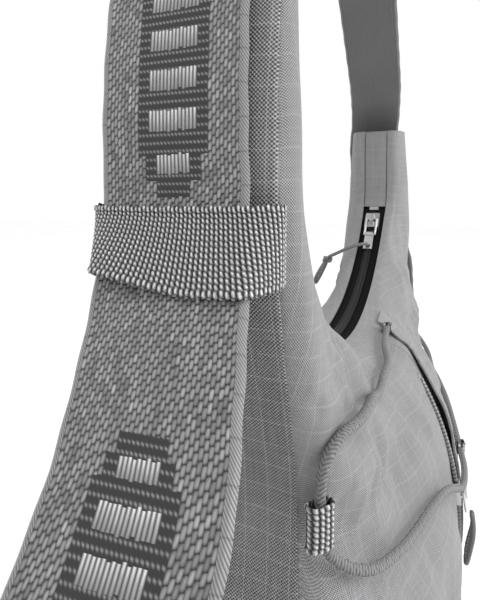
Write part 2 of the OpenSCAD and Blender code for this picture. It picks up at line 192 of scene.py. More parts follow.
# ---------------------------------------------------------------- camera, floor and light
def make_camera():
    """The eye stands off the left end, level with the keeper, and looks along the bag at its front."""
    eye = Vector((-0.2829, -0.0554, 0.2505))
    yaw = math.radians(21.8)
    pitch = math.radians(-4.8)
    data = bpy.data.cameras.new("camera")
    data.sensor_fit = "VERTICAL"
    data.sensor_height = 36
    data.lens = 31.25
    data.shift_y = -0.087
    data.clip_start = 0.01
    camera = bpy.data.objects.new("camera", data)
    bpy.context.scene.collection.objects.link(camera)
    ahead = Vector((math.cos(pitch) * math.cos(yaw), math.cos(pitch) * math.sin(yaw), math.sin(pitch)))
    right = ahead.cross(Vector((0, 0, 1))).normalized()
    up = right.cross(ahead)
    camera.matrix_world = Matrix(((right.x, up.x, -ahead.x, eye.x), (right.y, up.y, -ahead.y, eye.y),
                                  (right.z, up.z, -ahead.z, eye.z), (0, 0, 0, 1)))
    bpy.context.scene.camera = camera


def area_light(name, place, target, size, power):
    data = bpy.data.lights.new(name, "AREA")
    data.shape = "DISK"
    data.size = size
    data.energy = power
    light = bpy.data.objects.new(name, data)
    light.location = place
    light.rotation_euler = (Vector(target) - Vector(place)).to_track_quat("-Z", "Y").to_euler()
    bpy.context.scene.collection.objects.link(light)


def make_studio():
    world = bpy.data.worlds.new("studio")
    world.use_nodes = True
    world.node_tree.nodes["Background"].inputs["Color"].default_value = (1, 1, 1, 1)
    world.node_tree.nodes["Background"].inputs["Strength"].default_value = 1.0
    bpy.context.scene.world = world
    bpy.context.scene.view_settings.view_transform = "Standard"
    area_light("key_light", (0.45, -1.6, 0.8), (0, 0, 0.15), 1.0, 17)
    area_light("top_light", (-0.3, -0.5, 1.6), (-0.1, 0, 0.2), 0.8, 6)


# ---------------------------------------------------------------- materials
class Graph:
    """A material and short calls that add its nodes. Values are sockets or plain numbers."""

    def __init__(self, name):
        self.material = bpy.data.materials.new(name)
        self.material.use_nodes = True
        self.tree = self.material.node_tree
        self.shader = self.tree.nodes["Principled BSDF"]

    def put(self, socket, value):
        if isinstance(value, bpy.types.NodeSocket):
            self.tree.links.new(value, socket)
        else:
            socket.default_value = value

    def node(self, kind, **settings):
        node = self.tree.nodes.new(kind)
        for key, value in settings.items():
            setattr(node, key, value)
        return node

    def m(self, operation, a, b=0.0, c=0.0):
        node = self.node("ShaderNodeMath", operation=operation)
        for socket, value in zip(node.inputs, (a, b, c)):
            self.put(socket, value)
        return node.outputs[0]

    def mad(self, a, b, c):
        """a * b + c"""
        return self.m("MULTIPLY_ADD", a, b, c)

    def sub(self, a, b):
        return self.m("SUBTRACT", a, b)

    def div(self, a, b):
        return self.m("DIVIDE", a, b)

    def power(self, a, n):
        """The size of a, without its sign, to the power n."""
        return self.m("POWER", self.m("ABSOLUTE", a), n)

    def unit(self, a):
        """From -1 to 1 turned into 0 to 1."""
        return self.mad(a, 0.5, 0.5)

    def saw(self, a):
        """Rises from -1 to 1 over each whole step of a."""
        return self.mad(self.m("FRACT", a), 2.0, -1.0)

    def mul(self, a, b):
        return self.m("MULTIPLY", a, b)

    def add(self, a, b):
        return self.m("ADD", a, b)

    def blend(self, a, b, t):
        node = self.node("ShaderNodeMix", data_type="FLOAT")
        for socket, value in zip(node.inputs[:1] + node.inputs[2:4], (t, a, b)):
            self.put(socket, value)
        return node.outputs[0]

    def uv(self):
        """The surface's own coordinates in millimetres: across and along the cloth."""
        split = self.node("ShaderNodeSeparateXYZ")
        self.put(split.inputs[0], self.node("ShaderNodeUVMap", uv_map="cloth").outputs[0])
        return split.outputs[0], split.outputs[1]

    def place(self):
        return self.node("ShaderNodeTexCoord").outputs["Object"]

    def noise(self, scale, detail=2.0, vector=None):
        node = self.node("ShaderNodeTexNoise")
        self.put(node.inputs["Vector"], vector or self.place())
        node.inputs["Scale"].default_value = scale
        node.inputs["Detail"].default_value = detail
        return node.outputs["Fac"]

    def at(self, x, y, z=0.0):
        node = self.node("ShaderNodeCombineXYZ")
        for socket, value in zip(node.inputs, (x, y, z)):
            self.put(socket, value)
        return node.outputs[0]

    def wave(self, x, pitch, shift=0.0):
        """A sine from -1 to 1 with that pitch in millimetres."""
        return self.m("SINE", self.mad(x, 2 * math.pi / pitch, shift))

    def ramp(self, value, *stops):
        node = self.node("ShaderNodeValToRGB")
        elements = node.color_ramp.elements
        while len(elements) < len(stops):
            elements.new(0.5)
        for element, (place, tone) in zip(elements, stops):
            element.position = place
            element.color = (tone, tone, tone * 1.01, 1)
        self.put(node.inputs[0], value)
        return node.outputs[0]

    def finish(self, colour, height, depth, roughness, **sockets):
        """Sets the colour, the relief (depth in millimetres) and the shader's plain values."""
        self.put(self.shader.inputs["Base Color"], colour)
        self.put(self.shader.inputs["Roughness"], roughness)
        bump = self.node("ShaderNodeBump")
        bump.inputs["Strength"].default_value = 1.0
        bump.inputs["Distance"].default_value = depth * MM
        self.put(bump.inputs["Height"], height)
        self.put(self.shader.inputs["Normal"], bump.outputs[0])
        for key, value in sockets.items():
            self.shader.inputs[key.replace("_", " ")].default_value = value
        return self.material


def ripstop(name, tone, pitch=0.71, depth=0.55, relief=0.2):
    """Plain-woven nylon with a thicker thread every seven millimetres both ways."""
    g = Graph(name)
    x, y = g.uv()
    wobble = g.mul(g.add(g.noise(60), -0.5), 0.6)
    x, y = g.add(x, wobble), g.add(y, wobble)
    over = g.mul(g.wave(x, pitch), g.wave(y, pitch))
    warp = g.noise(1.0, 2.0, g.at(g.mul(x, 1.3), g.mul(y, 0.06)))
    weft = g.noise(1.0, 2.0, g.at(g.mul(x, 0.06), g.mul(y, 1.3), 7.0))
    rip_x = g.power(g.wave(x, 14.0), 160.0)
    rip_y = g.power(g.wave(y, 14.0), 160.0)
    rip = g.m("MAXIMUM", rip_x, rip_y)
    cloud = g.noise(30, 3.0)
    yarn = g.add(g.mul(warp, 0.5), g.mul(weft, 0.5))
    shade = g.add(g.mul(over, 0.6), g.mul(rip, 0.2))
    shade = g.add(shade, g.add(g.mul(yarn, 0.62), g.mul(cloud, 0.34)))
    colour = g.ramp(shade, (0.1, tone * depth), (0.5, tone), (0.9, tone * (2 - depth)))
    height = g.add(g.mul(over, 0.9), g.add(g.mul(rip, 0.4), g.mul(yarn, 0.6)))
    return g.finish(colour, height, relief, g.blend(0.6, 0.8, cloud), Sheen_Weight=0.05, Sheen_Roughness=0.5,
                    Specular_IOR_Level=0.3)


def twill(name, tone):
    """The darker, finer lining cloth."""
    g = Graph(name)
    x, y = g.uv()
    rib = g.wave(g.add(x, y), 0.9)
    cloud = g.noise(35, 3.0)
    colour = g.ramp(g.add(g.mul(rib, 0.2), cloud), (0.2, tone * 0.7), (0.9, tone * 1.3))
    return g.finish(colour, rib, 0.1, g.blend(0.6, 0.75, cloud), Sheen_Weight=0.1)


# How far each second column of beads is shifted, as a part of one bead
STAGGER = 0.2


def ribbed(name, pitch, step):
    """Coarse webbing: columns of yarn beads, each second one a little higher, with holes between. Its colour
    follows the beads' height: a painted highlight on each bead's crown, painted shade at its sides and
    darker painted shade in the holes.
    """
    g = Graph(name)
    x, y = g.uv()
    column = g.div(x, pitch)
    index = g.m("FLOOR", column)
    across = g.saw(column)
    odd = g.m("MODULO", index, 2.0)
    row = g.add(g.div(y, step), g.mul(odd, STAGGER))
    along = g.saw(row)
    tilt = g.mad(along, 0.3, across)
    bead = g.mul(g.sub(1.0, g.m("MINIMUM", 1.0, g.power(tilt, 2.0))),
                 g.mad(g.mul(along, along), -0.55, 1.0))
    grain = g.noise(1.0, 3.0, g.at(g.mul(x, 2.6), g.mul(y, 2.2)))
    hole = g.power(across, 3.0)
    hole = g.mul(hole, g.unit(g.wave(y, step)))
    # Painted shade: each bead darkens towards its sides, and the holes are painted darker still, in place of
    # the shade that falls in them.
    shade = g.sub(g.mul(bead, g.mad(grain, 1.0, 0.4)), g.mul(hole, 0.45))
    colour = g.ramp(shade, (0.05, 0.006), (0.45, 0.11), (0.7, 0.33), (0.98, 0.72))
    return g.finish(colour, bead, 0.25, 0.45, Sheen_Weight=0.05, Specular_IOR_Level=0.5)


def plain_webbing(name, dark, light):
    """The strap's back: low ribs across, with fine warp lines."""
    g = Graph(name)
    x, y = g.uv()
    rib = g.wave(y, 1.5)
    warp = g.wave(g.mad(g.m("SIGN", rib), 0.26, x), 1.05)
    weave = g.unit(g.mul(rib, warp))
    cloud = g.noise(40, 3.0)
    colour = g.ramp(g.add(g.mul(weave, 0.7), g.mul(cloud, 0.3)), (0.1, dark), (0.9, light))
    return g.finish(colour, weave, 0.22, 0.6, Sheen_Weight=0.1)


FIGURE_REPEAT = 176.0
# Dark blocks in the strap's figure: middle across, half width, middle along, half length (mm)
BLOCKS = [[19.5, 4.6, 4, 3], [19.5, 7.0, 9, 4], [19.5, 9.2, 38, 27], [19.5, 7.0, 67, 4], [19.5, 4.6, 72, 3],
          [19.5, 5.2, -54, 3], [19.5, 7.4, -58, 3], [19.5, 9.2, -71, 12], [19.5, 5.2, -85, 2.6]]
# Separate bars of long floats across the blocks, in the same way
BARS = [[19.5, 4.3, 9, 2.2], [19.5, 6.6, 19, 2.4], [19.5, 6.6, 28.5, 2.4], [19.5, 6.6, 38, 2.4],
        [19.5, 6.6, 47.5, 2.4], [19.5, 6.6, 57, 2.4], [19.5, 4.3, 67, 2.2],
        [19.5, 4.3, -57, 1.8], [19.5, 6.6, -65, 2.2], [19.5, 6.6, -73, 2.2], [19.5, 6.6, -80, 2.0]]
# Width of a warp column, length of a float on the ground, and pitch of the blocks' ribs (mm)
COLUMN = 0.95
FLOAT_RUN = 2.25
RIB_PITCH = 1.9
SELVEDGE = 1.9


def figured_webbing(name):
    """The strap's face: staggered shiny warp floats, and dark ribbed blocks with bars of long floats.
    Floats, ribs and bars are painted lighter on their crowns and darker at their sides, and the slits at the
    floats' ends are painted shade.
    """
    g = Graph(name)
    x, y = g.uv()
    index = g.m("FLOOR", g.div(x, COLUMN))
    centre = g.mad(index, COLUMN, COLUMN / 2)
    jitter = g.sub(g.noise(1.0, 0.0, g.at(g.mul(index, 3.7), g.mul(y, 0.12))), 0.5)
    local = g.m("WRAP", y, FIGURE_REPEAT / 2, -FIGURE_REPEAT / 2)

    def patches(table, ragged):
        """1 inside any of the rectangles, whose ends are uneven from column to column."""
        along = g.mad(g.sub(g.noise(1.0, 0.0, g.at(g.mul(index, 5.3), 3.0)), 0.5), ragged, local)
        total, run = 0.0, 0.0
        for cx, half, cy, tall in table:
            inside = g.m("MAXIMUM", g.div(g.m("ABSOLUTE", g.sub(centre, cx)), half),
                         g.div(g.m("ABSOLUTE", g.sub(along, cy)), tall))
            inside = g.m("LESS_THAN", inside, 1.0)
            total = g.m("MAXIMUM", total, inside)
            up = g.div(g.sub(along, cy), tall)
            run = g.m("MAXIMUM", run, g.mul(inside, g.unit(up)))
        return total, run

    across = g.saw(g.div(x, COLUMN))
    ridge = g.sub(1.0, g.power(across, 2.0))
    phase = g.add(g.div(y, FLOAT_RUN), g.add(g.mul(index, 0.46), g.mul(jitter, 0.6)))
    along = g.saw(phase)
    tone = g.noise(1.0, 0.0, g.at(g.mul(index, 7.3), g.mul(g.m("FLOOR", phase), 5.1)))
    lean = g.m("ABSOLUTE", g.mad(along, -0.35, across))
    slit = g.power(along, 4.0)
    body = g.sub(g.mad(g.power(lean, 1.6), -0.5, 1.0), g.mul(slit, 0.75))
    body = g.m("MAXIMUM", body, 0.0)

    rib = g.m("MAXIMUM", 0.0, g.wave(g.mad(across, 0.22, y), RIB_PITCH))
    bead = g.mul(ridge, g.power(rib, 1.2))

    figure, _ = patches(BLOCKS, 1.2)
    bars, run = patches(BARS, 1.6)
    on_bar = g.mul(figure, bars)
    ground = g.sub(figure, on_bar)
    grain = g.noise(1.0, 3.0, g.at(g.mul(x, 4.0), g.mul(y, 0.5)))
    patchy = g.noise(1.0, 2.0, g.at(g.mul(x, 0.35), g.mul(y, 0.12)))
    # Painted highlight and shade: each float's brightness follows its height and is darkest in the slits at
    # its ends. The ribs and bars are likewise painted darker at their column's sides.
    shade = g.mul(g.mad(body, 0.58, -0.07), g.mad(tone, 1.1, 0.4))
    shade = g.blend(shade, g.mul(bead, 0.42), ground)
    shade = g.blend(shade, g.mad(g.mul(ridge, g.mad(run, 0.55, 0.45)), 0.75, 0.1), on_bar)
    shade = g.mul(shade, g.add(g.mad(grain, 0.5, 0.52), g.mul(patchy, 0.5)))
    selvedge = g.m("GREATER_THAN", g.m("ABSOLUTE", g.sub(x, STRAP_W / 2)), STRAP_W / 2 - SELVEDGE)
    hole = g.power(g.wave(y, 15.0), 200.0)
    rolled = g.mad(g.wave(g.mad(x, 1.6, y), 0.95), 0.12, 0.4)
    rolled = g.mad(hole, -0.12, rolled)
    shade = g.blend(shade, rolled, selvedge)
    height = g.blend(body, g.mad(bead, 0.8, -0.9), ground)
    height = g.blend(height, g.mad(ridge, 1.0, 0.4), on_bar)
    height = g.blend(height, rolled, selvedge)
    colour = g.ramp(shade, (0.02, 0.01), (0.3, 0.13), (0.6, 0.34), (0.9, 0.72))
    return g.finish(colour, height, 0.32, g.blend(0.38, 0.6, ground), Sheen_Weight=0.1,
                    Specular_IOR_Level=0.6)


def braid(name, dark, light):
    """Herringbone yarn with a row of raised beads along one side of the cord, painted bright there as a
    painted highlight. Across goes round the cord, and along its length.
    """
    g = Graph(name)
    x, y = g.uv()
    fold = g.m("ABSOLUTE", g.m("SINE", x))
    strand = g.unit(g.wave(g.mad(fold, 1.3, y), 1.25))
    # Painted highlight: a bright row of raised beads at one fixed angle round the cord, in place of the
    # light on its lit side.
    side_beads_highlight = g.power(g.m("MAXIMUM", 0.0, g.m("COSINE", g.add(x, 0.5))), 5.0)
    side_beads_highlight = g.mul(side_beads_highlight, g.unit(g.wave(g.mad(x, 0.7, y), 2.2)))
    fibre = g.noise(1.0, 3.0, g.at(g.mul(x, 5.0), g.mul(y, 2.0)))
    shade = g.add(g.mad(strand, 0.3, 0.1), g.mul(fibre, 0.25))
    shade = g.add(shade, g.mul(side_beads_highlight, 0.5))
    colour = g.ramp(shade, (0.1, dark), (0.5, mix(dark, light, 0.35)), (0.95, light))
    return g.finish(colour, g.add(strand, side_beads_highlight), 0.2, 0.6, Specular_IOR_Level=0.35)


def brushed_metal(name, tone, roughness):
    """Die-cast zip hardware with fine polishing lines and a few worn patches."""
    g = Graph(name)
    lines = g.node("ShaderNodeMapping")
    g.put(lines.inputs["Vector"], g.place())
    lines.inputs["Scale"].default_value = (9000, 9000, 900)
    fine = g.noise(1.0, 2.0, lines.outputs[0])
    worn = g.noise(420, 3.0)
    colour = g.ramp(g.add(g.mul(fine, 0.5), g.mul(worn, 0.5)), (0.2, tone * 0.8), (0.8, tone * 1.1))
    return g.finish(colour, fine, 0.02, g.blend(roughness * 0.7, roughness * 1.4, worn), Metallic=1.0)


def moulded(name, tone, roughness):
    """Plastic with a fine spark-eroded grain."""
    g = Graph(name)
    grain = g.noise(2500, 2.0)
    cloud = g.noise(120, 2.0)
    colour = g.ramp(g.add(g.mul(grain, 0.4), g.mul(cloud, 0.6)), (0.2, tone * 0.75), (0.8, tone * 1.25))
    return g.finish(colour, grain, 0.05, g.blend(roughness, roughness + 0.15, cloud))


def zip_tape(name, tone):
    """Knitted zip tape: fine ribs across the tape."""
    g = Graph(name)
    x, y = g.uv()
    rib = g.unit(g.mul(g.wave(x, 0.8), g.wave(y, 1.1)))
    cloud = g.noise(60, 2.0)
    colour = g.ramp(g.add(g.mul(rib, 0.6), g.mul(cloud, 0.4)), (0.1, tone * 0.6), (0.9, tone * 1.5))
    return g.finish(colour, rib, 0.12, 0.85, Specular_IOR_Level=0.12)


def concrete_white(name):
    g = Graph(name)
    colour = g.ramp(g.noise(3, 3.0), (0.3, 0.97), (0.7, 1.0))
    return g.finish(colour, g.noise(40, 2.0), 0.05, 0.9)


# ---------------------------------------------------------------- meshes
def make_object(name, points, faces, material, uv=None, body="bag", cad=(), slot=None, sharp=55):
    """A mesh piece from points in millimetres, riding on its body and standing for its CAD nodes."""
    mesh = bpy.data.meshes.new(name)
    mesh.from_pydata((np.asarray(points, float) * MM).tolist(), [], faces)
    if uv is not None:
        index = np.empty(len(mesh.loops), int)
        mesh.loops.foreach_get("vertex_index", index)
        layer = mesh.uv_layers.new(name="cloth")
        layer.data.foreach_set("uv", np.asarray(uv, np.float32)[index].ravel())
    mesh.polygons.foreach_set("use_smooth", [True] * len(mesh.polygons))
    mesh.set_sharp_from_angle(angle=math.radians(sharp))
    for m in material if isinstance(material, (list, tuple)) else [material]:
        mesh.materials.append(m)
    piece = bpy.data.objects.new(name, mesh)
    bpy.context.scene.collection.objects.link(piece)
    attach(piece, body)
    if cad:
        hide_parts(*cad)
    return piece


def grid_normals(grid):
    n = np.cross(np.gradient(grid, axis=0), np.gradient(grid, axis=1))
    return n / np.maximum(1e-9, np.linalg.norm(n, axis=-1, keepdims=True))


def grid_uv(grid):
    """Coordinates in millimetres for a grid whose first axis runs along the cloth."""
    along = np.mean(np.linalg.norm(np.diff(grid, axis=0), axis=-1), axis=1)
    across = np.mean(np.linalg.norm(np.diff(grid, axis=1), axis=-1), axis=0)
    y, x = np.meshgrid(np.r_[0, np.cumsum(along)], np.r_[0, np.cumsum(across)], indexing="ij")
    return stack(x, y)


def sheet_piece(name, grid, thickness, material, uv=None, **facts):
    """A closed sheet behind a grid of points. A positive thickness goes along the grid's normal."""
    n, m = grid.shape[:2]
    uv = grid_uv(grid) if uv is None else uv
    under = grid + thickness * grid_normals(grid)
    k = np.arange(n * m).reshape(n, m)
    quads = stack(k[:-1, :-1], k[:-1, 1:], k[1:, 1:], k[1:, :-1]).reshape(-1, 4)
    if thickness < 0:
        quads = quads[:, ::-1]
    rim = np.r_[k[0, :], k[1:, -1], k[-1, -2::-1], k[-2:0:-1, 0]]
    turn = np.roll(rim, -1)
    edge = stack(turn, rim, rim + n * m, turn + n * m)
    if thickness < 0:
        edge = edge[:, ::-1]
    faces = np.concatenate([quads, quads[:, ::-1] + n * m, edge]).tolist()
    points = np.concatenate([grid.reshape(-1, 3), under.reshape(-1, 3)])
    both = np.concatenate([uv.reshape(-1, 2), uv.reshape(-1, 2)])
    piece = make_object(name, points, faces, material, both, **facts)
    if isinstance(material, list):
        layer = np.r_[np.zeros(len(quads), int), np.ones(len(quads) + len(edge), int)]
        piece.data.polygons.foreach_set("material_index", layer)
    return piece


def tube_piece(name, path, radius, material, sides=20, relief=0.0, turns=1.9, **facts):
    """A round cord along a path, with the relief of its crossing strands and closed, rounded ends."""
    tangent = np.gradient(path, axis=0)
    tangent /= np.linalg.norm(tangent, axis=1, keepdims=True)
    side = np.cross(tangent[0], [0.3, 0.9, 0.2])
    s = arc_length(path)
    theta = np.linspace(0, 2 * np.pi, sides, endpoint=False)
    points, uv = [], []
    for k in range(len(path)):
        side = side - tangent[k] * np.dot(side, tangent[k])
        side /= np.linalg.norm(side)
        other = np.cross(tangent[k], side)
        strand = np.maximum(np.sin(4 * theta + turns * s[k]), np.sin(4 * theta - turns * s[k]))
        end = min(1.0, math.sqrt(max(0.05, min(s[k], s[-1] - s[k]) / radius)))
        r = radius * end * (1 + relief * (strand - 0.6))
        ring = np.cos(theta)[:, None] * side + np.sin(theta)[:, None] * other
        points.append(path[k] + r[:, None] * ring)
        uv.append(stack(theta, np.full(sides, s[k])))
    count = len(path)
    k = np.arange(count * sides).reshape(count, sides)
    walls = stack(k[:-1], np.roll(k, -1, 1)[:-1], np.roll(k, -1, 1)[1:], k[1:]).reshape(-1, 4).tolist()
    caps = [k[0, ::-1].tolist(), k[-1].tolist()]
    return make_object(name, np.concatenate(points), walls + caps, material, np.concatenate(uv), **facts)


def boxes_piece(name, centres, frames, sizes, material, **facts):
    """Many small rounded blocks in one mesh: centres, each with its three axes, and one size."""
    corner = np.array([[x, y, z] for x in (-1, 1) for y in (-1, 1) for z in (-1, 1)], float) / 2
    quads = [[0, 1, 3, 2], [4, 6, 7, 5], [0, 4, 5, 1], [2, 3, 7, 6], [0, 2, 6, 4], [1, 5, 7, 3]]
    points, faces = [], []
    for c, axes in zip(centres, frames):
        start = len(points) * 8
        points.append(c + (corner * sizes) @ axes)
        faces += [[start + i for i in q] for q in quads]
    piece = make_object(name, np.concatenate(points), faces, material, sharp=30, **facts)
    bevel = piece.modifiers.new("rounding", "BEVEL")
    bevel.width = min(sizes) * 0.28 * MM
    bevel.segments = 2
    return piece


# ---------------------------------------------------------------- cords, made first
# The main slider's place on the arc at rest, in degrees, and the eye of its pull tab (mm)
REST_ANGLE = 45.0
PIVOT_Z = ZIP_Z - (ZIP_R - 4.3)
EYE = np.array([-16 - 15 + 3.2, 0, PIVOT_Z])
# The pull cord's route and its knot, from that eye
PULL_ROUTE = [[0, 0, 0], [-0.5, 0.5, 3], [-3, 3, 5.5], [-6, 8.2, 6.8], [-9, 14, 6.5], [-12, 20.2, 5.2],
              [-14, 25, 3.8], [-15, 27.5, 2], [-19.2, 30, 0.6], [-24.5, 32.7, -1.3], [-28.3, 35.1, -4.5],
              [-29.5, 36, -9], [-26, 36, -12.5], [-21.5, 34.1, -11.3], [-18.3, 31.7, -7.5],
              [-16.4, 29, -2.2], [-16, 28.4, -0.9]]
KNOT_AT = [-15.2, 27.9, 1.2]
# The front slider's place on the front's arc, in degrees, its ring's drop, and the cord loop's route
FRONT_REST = 8.0
RING_DROP = 9.0
LOOP_ROUTE = [[-1, -0.5, -1.5], [-3, -1.5, -6], [-5, -1.5, -12], [-6, -0.5, -18], [-5.5, 0.5, -24],
              [-2, 1, -28.5], [3, 1, -28.5], [6, 0.5, -24], [6, -0.5, -18], [5, -1.5, -12], [3, -1.5, -6],
              [1, -0.5, -1.5]]


def at_main_slider(points):
    """From the slider's own frame at the middle of the zip to its place at the zip's right end."""
    p = np.atleast_2d(np.array(points, float))
    a = math.radians(-REST_ANGLE)
    z = p[:, 2] - ZIP_Z
    return stack(p[:, 0] * math.cos(a) + z * math.sin(a), p[:, 1],
                 z * math.cos(a) - p[:, 0] * math.sin(a) + ZIP_Z)


def front_arc_pt(angle, out):
    a = math.radians(angle)
    return np.array([0, FRONT_BACK - (FRONT_R + out) * math.cos(a), FRONT_Z + (FRONT_R + out) * math.sin(a)])


def declare_cord(piece, path, diameter, far_end, stiffness="limp", **facts):
    """Works out the length of a cord's route in metres, and does nothing more with the cord."""
    arc_length(path)[-1] * MM


def make_pull_cords(cord_look):
    """The knotted cord on the main pull tab and the loop on the front pull ring."""
    path = resample(at_main_slider(catmull([EYE + p for p in PULL_ROUTE], 8)), 0.5)
    cord = tube_piece("main_cord_loop", path, PULL_CORD_D / 2, cord_look, 16, 0.07, body="main_pull_cord",
                      cad=("main_pull_cord",), slot="cord")
    t = np.linspace(0.15, 2 * np.pi - 0.15, 110)
    knot = stack(np.sin(t) + 2 * np.sin(2 * t), np.cos(t) - 2 * np.cos(2 * t), -1.3 * np.sin(3 * t))
    centre = at_main_slider([EYE + KNOT_AT])[0]
    knot = tube_piece("main_knot", centre + 0.95 * knot, PULL_CORD_D / 2, cord_look, 14, 0.07,
                      body="main_pull_cord", cad=("main_cord_knot",), slot="cord")
    declare_cord(cord, path, PULL_CORD_D, "knot", with_pieces=[knot])
    pivot = front_arc_pt(FRONT_REST, 3.4) + [-1, 0, 0]
    top = pivot + [0, -3.6, 0.5 - RING_DROP]
    path = resample(catmull([top + p for p in LOOP_ROUTE], 8), 0.5)
    cord = tube_piece("front_cord_loop", path, PULL_CORD_D / 2, cord_look, 16, 0.07, body="front_puller",
                      cad=("front_pull_cord",), slot="cord")
    declare_cord(cord, path, PULL_CORD_D, "object")


# The bungee's height over the cloth, and its extra height where it crosses the front zip
CORD_LIFT = BUNGEE_D / 2 + 0.8
CORD_RISE = 1.8
# Its route on the front, in the panel's own u and v
LACE_START = [0.93, 0.016]
LACE_TOP = [[0.985, 0.02], [0.914, 0.026], [0.83, 0.04], [0.765, 0.062], [0.715, 0.1], [0.61, 0.19],
            [0.555, 0.335], [0.5, 0.58], [0.475, 0.73], [0.468, 0.86], [0.482, 0.93]]
TAB_AT = [0.522, 0.965]
LACE_LOW = [[0.553, 0.925], [0.57, 0.826], [0.592, 0.686], [0.643, 0.464], [0.714, 0.338], [0.772, 0.292],
            [0.854, 0.3], [0.96, 0.37]]


def on_front(u, v, lift):
    """A point that stands off the left front panel by lift."""
    e = 0.004
    p, a, b = front_pt(np.array([u, u - e, u]), np.array([v, v, v + e]))
    n = np.cross(a - p, b - p)
    return p + lift * n / np.linalg.norm(n)


TAB_PT = on_front(*TAB_AT, CORD_LIFT + 1.0)


def bungee_route():
    """Under the flap, through the left tab, across the lower centre and into the right tab."""
    start = [mirror_x(on_front(*LACE_START, CORD_LIFT))]
    low = [on_front(u, v, CORD_LIFT + (CORD_RISE if u > 0.95 else 0)) for u, v in LACE_LOW]
    cross = [[0, low[-1][1] - 1.4, low[-1][2] - 0.5]]
    right = [mirror_x(p) for p in low[::-1]]
    top = [on_front(u, v, CORD_LIFT) for u, v in LACE_TOP]
    return start + top + [TAB_PT] + low + cross + right + [mirror_x(TAB_PT)]


def eased(path, times):
    """The path with its sharper turns eased, and its ends where they were."""
    path = path.copy()
    for _ in range(times):
        path[1:-1] = (path[:-2] + 2 * path[1:-1] + path[2:]) / 4
    return path


BUNGEE = eased(resample(catmull(bungee_route(), 12), 0.45), 60)


# ---------------------------------------------------------------- the shell
def shell_piece(name, node, grid, thickness, look, uv=None):
    return sheet_piece(name, grid, thickness, look, uv, cad=(node,), slot="shell_fabric")


def panel_uv(grid):
    """Cloth coordinates that keep the weave upright: lengths add up from the seam to the mouth."""
    step = np.diff(grid[:, ::-1], axis=1)
    flat = np.maximum(1e-9, np.hypot(step[..., 0], step[..., 2]))
    stretch = np.linalg.norm(step, axis=-1) / flat
    seam = grid[:, -1:]
    x = np.concatenate([seam[..., 0], seam[..., 0] + np.cumsum(step[..., 0] * stretch, 1)], 1)
    z = np.concatenate([seam[..., 2], seam[..., 2] + np.cumsum(step[..., 2] * stretch, 1)], 1)
    return stack(x, z)[:, ::-1]


def folds(x, z, lines):
    """Soft troughs (and ridges, where deep is negative) along straight lines in the XZ plane."""
    total = np.zeros_like(x)
    for (x0, z0), (x1, z1), wide, deep in lines:
        d = np.array([x1 - x0, z1 - z0], float)
        long = np.hypot(*d)
        t = ((x - x0) * d[0] + (z - z0) * d[1]) / long**2
        off = ((x - x0) * d[1] - (z - z0) * d[0]) / long
        total += deep * np.exp(-((off / wide) ** 2)) * smooth(t / 0.25 + 0.5) * smooth((1 - t) / 0.35 + 0.3)
    return total


def ripple(x, z, seed):
    """Gentle unevenness of cloth: a few long waves with fixed random directions."""
    rng = np.random.default_rng(seed)
    total = np.zeros_like(x)
    for _ in range(9):
        turn, phase = rng.uniform(0, np.pi), rng.uniform(0, 2 * np.pi)
        pitch = rng.uniform(28, 75)
        total += np.sin(2 * np.pi * (x * math.cos(turn) + z * math.sin(turn)) / pitch + phase) * pitch / 75
    return total / 9


# Folds as start and end in XZ, half width and depth (mm)
FRONT_FOLDS = [[(-147, 262), (-112, 196), 7, 2.2], [(-139, 250), (-92, 178), 6, -1.6],
               [(-150, 240), (-128, 176), 5, 1.8], [(-120, 200), (-88, 140), 8, 2.4],
               [(-104, 205), (-62, 150), 9, -1.6], [(-150, 168), (-110, 120), 7, 1.8],
               [(-150, 158), (-96, 152), 6, 1.6], [(-60, 176), (-34, 118), 8, 1.8],
               [(-86, 128), (-70, 40), 12, 2.0], [(-140, 110), (-120, 30), 12, 2.2]]
BACK_FOLDS = [[(-145, 250), (-100, 180), 8, 2.4], [(-120, 205), (-60, 120), 10, 2.0],
              [(-60, 165), (-30, 60), 12, 2.0], [(-150, 160), (-105, 130), 8, 2.0],
              [(145, 250), (105, 175), 8, 2.4], [(100, 200), (70, 110), 10, 2.2],
              [(30, 165), (50, 60), 13, 2.0]]


def near_cord(grid, reach):
    """How close each point is to the bungee cord: 1 under it, 0 further off than its reach."""
    close = np.full(grid.shape[:2], 1e9)
    for p in BUNGEE[::6]:
        close = np.minimum(close, ((grid - p) ** 2).sum(-1))
    return np.exp(-close / reach**2)


def outline_inward(u):
    """The direction in XZ that points into the bag from its outline."""
    e = 0.002
    d = outer(np.clip(u + e, 0, 1)) - outer(np.clip(u - e, 0, 1))
    d = d / np.maximum(1e-9, np.linalg.norm(d, axis=-1, keepdims=True))
    return stack(-d[..., 1], d[..., 0])


def seam_valley(u, away, side):
    """How the cloth rolls into a seam between panel and gusset: a bisecting pull, by distance from it."""
    wide = lookup(u, [[0, 0.4], [0.2, 1.0], [0.5, 1.6], [0.8, 0.5]]) * np.exp(-((away / 6.5) ** 2))
    deep = 2.3 * np.exp(-away / 1.9) + wide
    deep = deep * smooth((1.02 * CORNER_U - u) / 0.05)
    into = outline_inward(u)
    pull = stack(into[..., 0], side * np.ones_like(u), into[..., 1]) * math.sqrt(0.5)
    return deep[..., None] * pull


def shape_seam(grid, u, side):
    """Adds the seam's valley to a panel whose last column lies on the seam."""
    away = np.linalg.norm(grid - grid[:, -1:], axis=-1)
    proud = lookup(u, [[0, 1.5], [0.1, 2.4], [0.25, 3.0], [0.45, 2.5], [0.6, 1.5], [0.75, 0]])
    proud = proud * (1 - np.exp(-((away / 4.5) ** 2))) * np.exp(-((away / 26) ** 2))
    return grid + seam_valley(u, away, side) - [0, side, 0] * proud[..., None]


